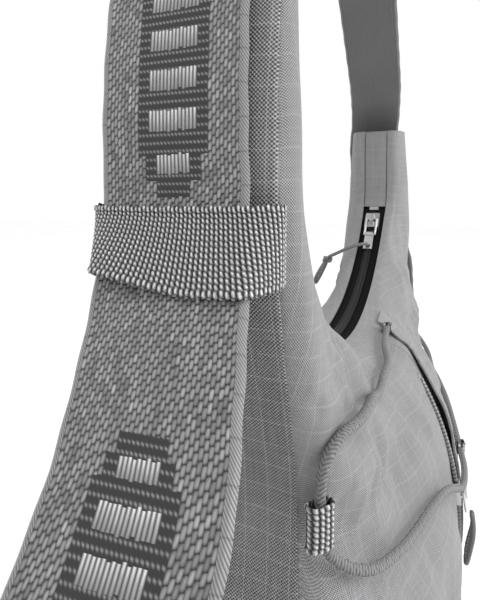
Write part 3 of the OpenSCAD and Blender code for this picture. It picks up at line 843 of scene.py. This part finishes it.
def shape_panel(grid, u, v, lines, seed):
    """How far folds and unevenness push a panel inwards. They fade out towards its seams and neck."""
    x, z = grid[..., 0], grid[..., 2]
    free = smooth(v / 0.08) * smooth((1 - v) / 0.1) * smooth((u - 0.06) / 0.1)
    return (folds(x, z, lines) + 1.5 * ripple(x, z, seed)) * free


PANEL_COLS, PANEL_ROWS = 230, 84
# The settling cloth uses each fifth row and column, runs for 22 frames and moves 5 mm at most
SIM_STEP = 5
SIM_FRAMES = 22
SIM_CAP = 5.0
CLOTH = {"quality": 8, "mass": 0.02, "tension_stiffness": 10, "compression_stiffness": 8,
         "shear_stiffness": 4, "bending_stiffness": 0.15, "vertex_group_mass": "held", "shrink_min": -0.025}


def spread(values, at, count, axis):
    """Values at some rows or columns of a grid, filled in for all of them."""
    fill = np.arange(count)
    return np.apply_along_axis(lambda line: np.interp(fill, at, line), axis, values)


def settle(name, grid, held):
    """Lets a panel's cloth sag between its seams. Held is 0 where it is free and 1 where it is kept."""
    i, j = (np.unique(np.append(np.arange(0, n, SIM_STEP), n - 1)) for n in grid.shape[:2])
    coarse, pins = grid[np.ix_(i, j)], held[np.ix_(i, j)]
    rows, cols = len(i), len(j)
    faces = [(a * cols + b, a * cols + b + 1, (a + 1) * cols + b + 1, (a + 1) * cols + b)
             for a in range(rows - 1) for b in range(cols - 1)]
    mesh = bpy.data.meshes.new(name)
    mesh.from_pydata((coarse.reshape(-1, 3) * MM).tolist(), [], faces)
    piece = bpy.data.objects.new(name, mesh)
    bpy.context.scene.collection.objects.link(piece)
    group = piece.vertex_groups.new(name="held")
    for index, weight in enumerate(pins.ravel()):
        group.add([index], float(weight), "REPLACE")
    cloth = piece.modifiers.new("settle", "CLOTH")
    for key, value in CLOTH.items():
        setattr(cloth.settings, key, value)
    cloth.point_cache.frame_start = 1
    cloth.point_cache.frame_end = SIM_FRAMES
    scene = bpy.context.scene
    for f in range(1, SIM_FRAMES + 1):
        scene.frame_set(f)
    found = piece.evaluated_get(bpy.context.evaluated_depsgraph_get()).data
    rest = np.empty(rows * cols * 3)
    found.vertices.foreach_get("co", rest)
    moved = rest.reshape(rows, cols, 3) / MM - coarse
    size = np.linalg.norm(moved, axis=-1, keepdims=True)
    moved = np.nan_to_num(moved * SIM_CAP / np.maximum(size, SIM_CAP))
    bpy.data.objects.remove(piece)
    scene.frame_set(1)
    moved = spread(spread(moved, j, grid.shape[1], 1), i, grid.shape[0], 0)
    return grid + moved * (1 - held[..., None])


def kept(grid, u, v):
    """Where a panel is held: at its seams and zips, and beside the bungee cord."""
    free = smooth((v - 0.05) / 0.12) * smooth((0.97 - v) / 0.1)
    free = free * smooth((u - 0.34) / 0.14) * smooth((0.97 - u) / 0.1)
    return 1 - free * (1 - near_cord(grid, 9.0))


def panel_grid():
    """The u and v of a half panel, closer together near its mouth."""
    u = np.linspace(0, 1, PANEL_COLS + 1)[:, None] + np.zeros(PANEL_ROWS + 1)
    return u, (np.linspace(0, 1, PANEL_ROWS + 1) ** 1.5)[None, :] + np.zeros_like(u)


# How far the left front panel runs on under the right one: all along, and more at the mouth and below
# the front zip's tape, which ends at that height (mm)
UNDERLAP = {"all": 0.3, "mouth": 18.7, "base": 13.5}
ZIP_FOOT = 38


def make_front(side, name, look):
    """One front panel, worked out as the left one. The left one's edge runs on under the right one's."""
    u, v = panel_grid()
    v = 1 - (1 - v) ** 1.15
    grid = front_pt(u, v)
    if side < 0:
        above, below = smooth((0.15 - v[:1]) / 0.05), smooth((ZIP_FOOT - grid[-1:, :, 2]) / 3)
        lap = np.linspace(0, 1, 13)[1:, None]
        lap = lap * (UNDERLAP["all"] + UNDERLAP["mouth"] * above + UNDERLAP["base"] * below)
        under = grid[-1:] + lap[..., None] * [1, 0, 0]
        grid = np.concatenate([grid, under])
        u, v = np.concatenate([u, 1 + 0 * lap]), np.concatenate([v, v[:1] + 0 * lap])
    lines = [[(-side * a[0], a[1]), (-side * b[0], b[1]), wide, deep] for a, b, wide, deep in FRONT_FOLDS]
    shaped = grid * [-side, 1, 1]
    inward = shape_panel(shaped, u, v, lines, 5 + side) + 1.3 * near_cord(shaped, 6.5)
    grid = shape_seam(grid + inward[..., None] * grid_normals(grid), u, 1)
    uv = panel_uv(grid)
    grid = settle("settle_front", grid, kept(grid, u, v))
    uv = (uv * [-side, 1])[::-side]
    shell_piece("front_" + name + "_cloth", "front_" + name + "_panel", sided(grid, side), 1.1, look, uv)


def make_back(look):
    """The back panel in one piece: its left half and the mirror of it, then folds, seams and settling."""
    u, v = panel_grid()
    left = back_pt(u, v)
    uv = panel_uv(left)
    grid = np.concatenate([left, mirror_x(left)[-2::-1]])
    uv = np.concatenate([uv, (uv * [-1, 1])[-2::-1]])
    u, v = np.concatenate([u, u[-2::-1]]), np.concatenate([v, v[-2::-1]])
    grid = grid - shape_panel(grid, u, v, BACK_FOLDS, 3)[..., None] * grid_normals(grid)
    half = u[:PANEL_COLS + 1]
    left = shape_seam(grid[:PANEL_COLS + 1], half, -1)
    right = mirror_x(shape_seam(mirror_x(grid[PANEL_COLS:])[::-1], half, -1))[::-1]
    grid = np.concatenate([left, right[1:]])
    held = np.maximum(kept(grid, u, v), 1 - smooth((v - 0.05) / 0.12))
    grid = settle("settle_back", grid, np.where(u > 0.97, smooth((v - 0.8) / 0.1), held))
    shell_piece("back_cloth", "back_panel", grid, -1.1, look, uv)


def make_gusset(side, name, look):
    """The end strip from the neck's top to the base's edge, hollowed between its seams."""
    rows, cols = 170, 44
    u = np.linspace(0, CORNER_U - 0.003, rows + 1)[:, None] + np.zeros(cols + 1)
    k = np.sin(np.linspace(-np.pi / 2, np.pi / 2, cols + 1))[None, :] + np.zeros_like(u)
    p = outer(u)
    half = lookup(u, SEAM)
    grid = stack(p[..., 0], k * half, p[..., 1])
    hollow = lookup(u, [[0, 0.2], [NECK_U, 0.6], [0.35, 3.0], [0.5, 4.5], [0.65, 3], [CORNER_U, 0.3]])
    waves = 0.7 * ripple(grid[..., 1] * 1.5, grid[..., 2], 11) * smooth((u - 0.2) / 0.15)
    inward = hollow * (1 - k**2) + waves * (1 - k**4)
    near, far = seam_valley(u, (1 + k) * half, 1), seam_valley(u, (1 - k) * half, -1)
    grid = grid + inward[..., None] * grid_normals(grid) + near + far
    uv = stack(-grid[..., 1] - KEEPER_X - 22, grid[..., 2])
    shell_piece(name + "_gusset_cloth", name + "_gusset", sided(grid, side), 1.1, look, uv[::-side])


def make_base(look):
    """The flat base, turned up a little at its edges and slightly uneven."""
    x, y = np.meshgrid(np.linspace(-BASE_HALF, BASE_HALF, 120), np.linspace(-1, 1, 44), indexing="ij")
    half = BASE_DEPTH - 2.6
    edge = np.maximum(np.abs(y) ** 8, np.abs(x / BASE_HALF) ** 30)
    z = 0.05 + 0.5 * edge + 0.25 * (1 + ripple(x, y * half, 21))
    grid = stack(x, y * half, z)
    shell_piece("base_cloth", "base_panel", grid, 1.1, look, stack(x, y * half))


def make_necks(look):
    """The strip over each neck's inside and the folded cap that closes its top."""
    for side, name in SIDES:
        u = np.linspace(0.002, 0.196, 60)
        path = inner(u)
        k = np.linspace(-1, 1, 22)
        y = k[None, :] * 8.2 + np.zeros((60, 1))
        crown = 0.5 * (1 - k**6)[None, :] - 0.4
        grid = stack(path[:, None, 0] + crown, y, path[:, None, 1] + np.zeros_like(y))
        shell_piece(name + "_facing_cloth", name + "_neck_facing", sided(grid, side), -1.0, look)
        v = np.linspace(0.03, 0.985, 30)
        ends = mix(inner(0.0), outer(0.0), v[:, None])
        half = plain_depth(0.0, v) - 0.4
        k = np.linspace(-1, 1, 30)
        dome = (1 - np.abs(k)[None, :] ** 4) * (1 - np.abs(2 * v - 1)[:, None] ** 6)
        grid = stack(ends[:, None, 0] + 0 * k, half[:, None] * k, NECK_Z - 2.4 + 1.9 * dome)
        shell_piece(name + "_cap_cloth", name + "_neck_cap", sided(grid, side), -1.0, look)


def front_strip(x0, x1, a0, a1, out, cols, rows):
    """A grid bent to the front zip's arc, from angle a0 to a1, at out(k) beyond the arc."""
    angle = np.radians(np.linspace(a1, a0, rows))[:, None]
    k = np.linspace(0, 1, cols)[None, :]
    r = FRONT_R + out(k)
    x = mix(x0, x1, k) + 0 * angle
    return stack(x, FRONT_BACK - r * np.cos(angle), FRONT_Z + r * np.sin(angle))


def on_right(x, v):
    """Points of the right front panel, or of its edge carried on leftwards, at each x and v."""
    u = np.linspace(0.35, 1, 1300)
    rows = []
    for xs, vs in zip(x, v[:, 0]):
        line = front_pt(u, np.full_like(u, vs))
        y, z = (np.interp(-xs, line[:, 0], line[:, k]) for k in (1, 2))
        rows.append(stack(xs, y, z))
    return np.array(rows)


def make_placket(look):
    """The right panel's turned edge: it starts high on the mouth, laps over the left panel and the zip."""
    v = (np.linspace(0.05, 1, 150) ** 1.6 * 0.66)[:, None] + np.zeros(40)
    edge = lookup(v, [[0, 30], [0.03, 18], [0.09, 9], [0.16, 5], [0.3, 4], [0.66, 4]])
    k = np.linspace(0, 1, 40)[None, :] + np.zeros_like(v)
    grid = on_right(edge + 24 * k, v)
    lift = lookup(v, [[0, 0.3], [0.04, 0.5], [0.08, 1.8], [0.15, 2.6], [0.22, 3.6], [0.28, 3.0],
                      [0.33, 1.8], [0.6, 1.5]])
    lift = lift * (1 - smooth((k - 0.25) / 0.75)) - 1.4 * smooth((k - 0.5) / 0.5)
    lift = lift + 0.5 * ripple(grid[..., 0] * 2, grid[..., 2], 31) * (1 - k)
    n = grid_normals(grid)
    n = n * -np.sign(n[..., 1:2])
    grid = grid + (lift + 1.0)[..., None] * n
    shell_piece("placket_cloth", "front_placket", grid, -1.0, look, stack(grid[..., 0], grid[..., 2]))


def make_inside(look, board_look):
    """The slip pocket on the back's inside, the front pocket's inner wall and the base board."""
    x, v = np.meshgrid(np.linspace(-80, 80, 60), np.linspace(0, 1, 40), indexing="ij")
    y = 32 + 4 * np.sin(np.pi * v) - 0.6 * ripple(x, v * 95, 41) - 5 * np.abs(x / 80) ** 3 * (1 - v)
    grid = stack(x, y, mix(140, 45, v))
    sheet_piece("slip_pocket_cloth", grid, 0.8, look, cad=("inner_slip_pocket",), slot="lining_fabric")
    grid = front_strip(-40, 40, -18, 24, lambda k: -9.0 + 0 * k, 40, 60)
    grid[..., 1] += 0.3 * ripple(grid[..., 0], grid[..., 2], 43)
    sheet_piece("pocket_wall_cloth", grid, 0.8, look, cad=("front_pocket_lining",), slot="lining_fabric")
    dress("base_board", board_look, 0.4)


# ---------------------------------------------------------------- strap, keepers and tabs
STRAP_GAP = 0.5
STRAP_MID = STRAP_GAP + STRAP_T / 2
BOW_OUT, BOW_Z = -238.0, 150.0


def path_normal(path):
    d = np.gradient(path, axis=0)
    d /= np.linalg.norm(d, axis=1, keepdims=True)
    return stack(-d[:, 1], d[:, 0])


def shifted(path, off):
    return path + off * path_normal(path)


def strap_path():
    foot = shifted(outer(np.linspace(0.74, 0.655, 9)), STRAP_MID)
    neck = shifted(outer(np.linspace(0.19, 0, 11)), STRAP_MID)
    t = np.arange(1, 12) / 12
    low = bez([foot[-1], foot[-1] + [-3, 24], [BOW_OUT - 1, BOW_Z - 50], [BOW_OUT, BOW_Z]], t)
    high = bez([[BOW_OUT, BOW_Z], [BOW_OUT + 1, BOW_Z + 32], neck[0] + [-7, -32], neck[0]],
               np.arange(12) / 12)
    top = neck[-1] + [40, 38]
    bend = bez([neck[-1], neck[-1] + [3, 16], top - [14, 14], top], np.arange(1, 7) / 6)
    apex = bez([[-30, STRAP_TOP - 11], [-15, STRAP_TOP + 4], [15, STRAP_TOP + 4], [30, STRAP_TOP - 11]],
               np.linspace(0, 1, 9))
    left = np.concatenate([foot, low, high, neck, bend])
    return np.concatenate([left, apex, (left * [-1, 1])[::-1]])


def strap_y(z):
    return lookup(z, [[60, -2], [150, -8], [200, -7], [232, 0.5], [250, 4], [300, 6], [340, 0]])


def smooth_strap():
    return eased(resample(catmull(strap_path(), 6), 1.2), 12)


def make_strap(face_look, back_look):
    """One dense band from foot to foot, with rolled selvedges and a slight sag across its width."""
    path = smooth_strap()
    s = arc_length(path)
    normal = path_normal(path)
    k = np.linspace(-1, 1, 61)
    edge = np.exp(-(1 - np.abs(k)) * STRAP_W / 2 / 0.9)
    roll = np.exp(-(((1 - np.abs(k)) * STRAP_W / 2 - 1.2) / 1.0) ** 2)
    free = smooth((262 - path[:, 1]) / 40) * smooth((path[:, 1] - 60) / 40)
    sag = free[:, None] * (0.9 * (k**2)[None, :] - 0.4) + 0.25 * np.sin(s / 17.0)[:, None] * k[None, :]
    off = STRAP_T / 2 + 0.55 * roll[None, :] - 0.7 * edge[None, :] - sag
    y = eased(strap_y(path[:, 1]), 30)
    half = STRAP_W / 2 + 0.12 * np.sin(s / 2.3)
    grid = stack(path[:, None, 0] + off * normal[:, None, 0], y[:, None] + half[:, None] * k[None, :],
                 path[:, None, 1] + off * normal[:, None, 1])
    start = s[np.argmax(path[:, 1] > KEEPER_Z)]
    uv = stack((1 - k[None, :]) * STRAP_W / 2 + 0 * s[:, None], (s - start)[:, None] + 0 * k)
    return sheet_piece("strap_webbing", grid, -STRAP_T, [face_look, back_look], uv, cad=("shoulder_strap",),
                       slot="strap_webbing")


def make_strap_stitching(thread_look):
    """Two rows of lock stitches beside both edges of each foot of the strap."""
    centres, frames = [], []
    path = shifted(resample(outer(np.linspace(0.735, 0.66, 60)), 0.2), STRAP_MID + STRAP_T / 2 + 0.75)
    s = arc_length(path)
    normal = path_normal(path)
    for side in (-1, 1):
        for y in (-16, -13.5, 12, 14.5):
            for at in np.arange(2, s[-1] - 2, 3.2):
                i = int(np.argmin(np.abs(s - at)))
                n = np.array([normal[i, 0], 0, normal[i, 1]])
                d = np.array([-n[2], 0, n[0]])
                c = np.array([path[i, 0], y - 1, path[i, 1]])
                flip = np.array([-side, 1, 1])
                centres.append(c * flip)
                frames.append(np.array([d, [0, 1, 0], n]) * flip)
    boxes_piece("strap_thread", centres, frames, np.array([2.6, 0.7, 0.6]), thread_look,
                cad=("strap_end_stitching",), slot="ribbed_webbing")


def beads(x, y, pitch, step):
    """Height of ribbed webbing, 0 to 1: the same columns of beads that its material shows."""
    column = x / pitch
    across = 2 * (column % 1) - 1
    along = 2 * ((y / step + STAGGER * (np.floor(column) % 2)) % 1) - 1
    return (1 - np.minimum(1, np.abs(across + 0.3 * along) ** 2)) * (1 - 0.55 * along**2)


# Column and bead pitch of each webbing (mm)
KEEPER_RIB = [1.3, 1.2]
TAB_RIB = [1.85, 1.6]


def keeper_line(t, strap_out):
    """The keeper's way round the strap at height t, from 0 at its top to 1 at its lower edge."""
    face = strap_out + 1.5
    back = 23.5 - 4.5 * t
    points = [[0.8 - KEEPER_X, -22.2], [-KEEPER_X - 1.6 - 3 * t, -22.4], [-face + 1.5, -19.6 + t],
              [-face, -14], [-face, 4], [-face, back - 4], [1.6 - face, back + 0.6],
              [-KEEPER_X - 2 - 3 * t, back + 1.6], [1 - KEEPER_X, 23.4]]
    return resample(catmull(points, 12), 0.4)


def make_keepers(look):
    """Each keeper bellies out over the strap, sags at its lower edge and has a row of loops on its rims."""
    rows, cols = 84, 340
    strap = smooth_strap()
    strap_face = strap[:, 0] + STRAP_T / 2 * path_normal(strap)[:, 0]
    first = int(np.argmax(strap[:, 1] > 200))
    last = int(np.argmax(strap[:, 1] >= 300))
    for side, name in SIDES:
        lines = []
        for t in np.linspace(0, 1, rows):
            z = KEEPER_Z - KEEPER_H * t
            line = keeper_line(t, -np.interp(z - 0.8, strap[first:last, 1], strap_face[first:last]))
            s = arc_length(line)
            q = np.linspace(0, s[-1], cols)
            line = stack(np.interp(q, s, line[:, 0]), np.interp(q, s, line[:, 1]))
            middle = np.sin(np.pi * np.linspace(0, 1, cols)) ** 0.7
            drop = -0.4 * middle * (1 - t) - 1.5 * middle * t
            on_rim = smooth((t - 0.95) / 0.05) - smooth((0.05 - t) / 0.05)
            loops = 0.35 * np.abs(np.sin(np.pi * q / KEEPER_RIB[0])) * on_rim
            bulge = 0.45 * sum(np.exp(-(((t - rim) / 0.03) ** 2)) for rim in (0.03, 0.97))
            out = (bulge + 0.3 * np.sin(np.pi * t)) * smooth(middle * 2)
            raised = t * (1.0 + 3.5 * smooth((line[:, 1] + 8) / 28))
            lines.append(stack(line[:, 0] - out, line[:, 1], z + drop - loops + raised))
        grid = np.array(lines)
        uv = stack(np.linspace(0, s[-1], cols)[None, :], KEEPER_H * np.linspace(0, 1, rows)[:, None])
        grid = grid - 0.36 * beads(uv[..., 0], uv[..., 1], *KEEPER_RIB)[..., None] * grid_normals(grid)
        sheet_piece(name + "_keeper_webbing", sided(grid, side), 1.3, look, uv[::-side],
                    cad=(name + "_keeper",), slot="ribbed_webbing")


def webbing_loop(name, centre, turn, wide, tall, thick, look, cad):
    """A short flat loop of webbing round a cord, pinched at its top and bottom."""
    rows, cols = 64, 180
    t = np.linspace(0, 2 * np.pi, cols)
    x = wide / 2 * np.sign(np.cos(t)) * np.abs(np.cos(t)) ** 0.6
    y = thick / 2 * np.sign(np.sin(t)) * np.abs(np.sin(t)) ** 0.8
    k = np.linspace(-1, 1, rows)
    pinch = 1 - 0.16 * k[:, None] ** 4
    rim = 1 + 0.1 * np.exp(-(((np.abs(k) - 0.93) / 0.06) ** 2))[:, None]
    c, s = math.cos(turn), math.sin(turn)
    x, y = x[None, :] * rim, y[None, :] * rim * pinch
    loops = 0.25 * np.abs(np.sin(x * 2.0)) * (np.abs(k) > 0.95)[:, None] * np.sign(k)[:, None]
    grid = stack(x * c - y * s, x * s + y * c, k[:, None] * tall / 2 + loops)
    uv = stack(arc_length(stack(x[0], y[0]))[None, :], (k * tall / 2)[:, None])
    grid = grid - 0.42 * beads(uv[..., 0], uv[..., 1], *TAB_RIB)[..., None] * grid_normals(grid)
    return sheet_piece(name, grid + centre, 0.8, look, uv, cad=(cad,), slot="ribbed_webbing")


# The side tabs' turn about Z, and their width, height and thickness (mm)
TAB_TURN = math.radians(36)
TAB_SIZE = [7.6, 12, 4.6]


def make_tabs(look):
    """The two side tabs and the two small loops that anchor the bungee cord."""
    for side, name in SIDES:
        centre = TAB_PT * [-side, 1, 1]
        webbing_loop(name + "_tab_webbing", centre, side * TAB_TURN, *TAB_SIZE, look, name + "_cord_tab")
    low = on_front(*LACE_LOW[-1], CORD_LIFT + CORD_RISE)
    start = mirror_x(on_front(*LACE_START, CORD_LIFT))
    webbing_loop("top_anchor_webbing", start, 0, 5, 4, 4.4, look, "top_cord_anchor")
    webbing_loop("lower_anchor_webbing", mirror_x(low) + [3.7, 0.4, 0.8], 0, 6, 6, 4.6, look,
                 "lower_cord_anchor")


# ---------------------------------------------------------------- zips
def zip_frames(angles, r):
    """Points on the main zip's arc and their axes: along the arc, across it (Y) and outwards."""
    a = np.radians(angles)
    centres = stack(r * np.sin(a), 0 * a, ZIP_Z - r * np.cos(a))
    frames = [np.array([[c, 0, s], [0, 1, 0], [s, 0, -c]]) for c, s in zip(np.cos(a), np.sin(a))]
    return centres, frames


def make_main_zip(tape_look, tooth_look):
    """The main zip's tape, and two rows of teeth that stand half a pitch apart."""
    angles = np.radians(np.linspace(-ZIP_SWEEP, ZIP_SWEEP, 220))[:, None]
    y = np.linspace(-1, 1, 30)[None, :]
    r = ZIP_R + 1.9 + 0.25 * np.cos(y * 9)
    grid = stack(r * np.sin(angles), 11 * y + 0 * angles, ZIP_Z - r * np.cos(angles))
    sheet_piece("main_tape_cloth", grid, -0.8, tape_look, cad=("main_zip_tape",), slot="zip_black")
    centres, frames = [], []
    pitch = math.degrees(1.5 / ZIP_R)
    for side in (-1, 1):
        angles = np.arange(1.8 - ZIP_SWEEP, ZIP_SWEEP - 1.8, pitch) + (pitch / 2 if side > 0 else 0)
        c, f = zip_frames(angles, ZIP_R + 0.3)
        centres += list(c + [0, side * 1.0, 0])
        frames += f
    boxes_piece("main_teeth", centres, frames, np.array([1.0, 2.9, 2.2]), tooth_look,
                cad=("main_zip_coil",), slot="zip_coil")


# Where the front zip starts and ends on the front's arc, in degrees
FRONT_ZIP = [-15, 31]


def make_front_zip(tape_look, tooth_look):
    """The front zip in the same way, down the middle of the front."""
    grid = front_strip(-9, 9, *FRONT_ZIP, lambda k: -2.2 + 0.15 * np.cos(k * 22), 30, 150)
    sheet_piece("front_tape_cloth", grid, 0.6, tape_look, cad=("front_zip_tape",), slot="zip_black")
    centres, frames = [], []
    pitch = math.degrees(2.0 / FRONT_R)
    for side in (-1, 1):
        for a in np.arange(FRONT_ZIP[0] + 1.7, FRONT_ZIP[1] - 2, pitch) + (pitch / 2 if side > 0 else 0):
            c, s = math.cos(math.radians(a)), math.sin(math.radians(a))
            centres.append(front_arc_pt(a, 0.5) + [-1 + side * 0.9, 0, 0])
            frames.append(np.array([[0, s, c], [1, 0, 0], [0, -c, s]]))
    boxes_piece("front_teeth", centres, frames, np.array([1.4, 2.4, 1.9]), tooth_look,
                cad=("front_zip_coil",), slot="zip_coil")


def dress(node, look, rounding):
    """Gives a CAD node its material and softens its edges."""
    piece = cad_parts[node]
    piece.data.materials.clear()
    piece.data.materials.append(look)
    bevel = piece.modifiers.new("rounding", "BEVEL")
    bevel.width = rounding * MM
    bevel.segments = 3
    bevel.limit_method = "ANGLE"
    bevel.angle_limit = math.radians(40)


# ---------------------------------------------------------------- the scene
make_camera()
cord_look = braid("cord_braid", 0.06, 0.46)
make_pull_cords(cord_look)

shell_look = ripstop("shell_ripstop", 0.31)
for end, end_name in SIDES:
    make_front(end, end_name, shell_look)
make_back(shell_look)
# The gusset's cloth is the shell's ripstop in a lighter tone, 0.36 against 0.31: painted light that
# brightens the ends, which get little of the key light. Its weave is also coarser and has more contrast.
gusset_look = ripstop("gusset_ripstop", 0.36, 1.0, 0.2, 0.6)
for end, end_name in SIDES:
    make_gusset(end, end_name, gusset_look)
make_base(shell_look)
make_necks(shell_look)
make_placket(shell_look)
make_inside(twill("lining_twill", 0.12), moulded("board_plastic", 0.05, 0.55))

bungee = tube_piece("bungee_braid", BUNGEE, BUNGEE_D / 2 - 0.1, braid("bungee_yarn", 0.06, 0.5), 24, 0.09,
                    cad=("bungee_cord",), slot="cord")
declare_cord(bungee, BUNGEE, BUNGEE_D, "object", stiffness="medium")
make_strap(figured_webbing("strap_figured"), plain_webbing("strap_plain", 0.05, 0.14))
make_strap_stitching(cord_look)
make_keepers(ribbed("keeper_webbing", *KEEPER_RIB))
make_tabs(ribbed("tab_webbing", *TAB_RIB))

make_main_zip(zip_tape("black_tape", 0.006), moulded("black_teeth", 0.004, 0.6))
make_front_zip(zip_tape("grey_tape", 0.15), moulded("grey_teeth", 0.26, 0.5))
steel_look = brushed_metal("zip_steel", 0.62, 0.3)
for node in ("main_slider", "main_bail", "main_pull_tab", "main_zip_stops", "front_slider",
             "front_pull_ring", "front_zip_stops"):
    dress(node, steel_look, 0.25)

make_studio()
bpy.ops.mesh.primitive_plane_add(size=12, location=(0, 0, -0.0005))
floor = bpy.context.object
floor.name = "floor"
floor.data.materials.append(concrete_white("floor_white"))
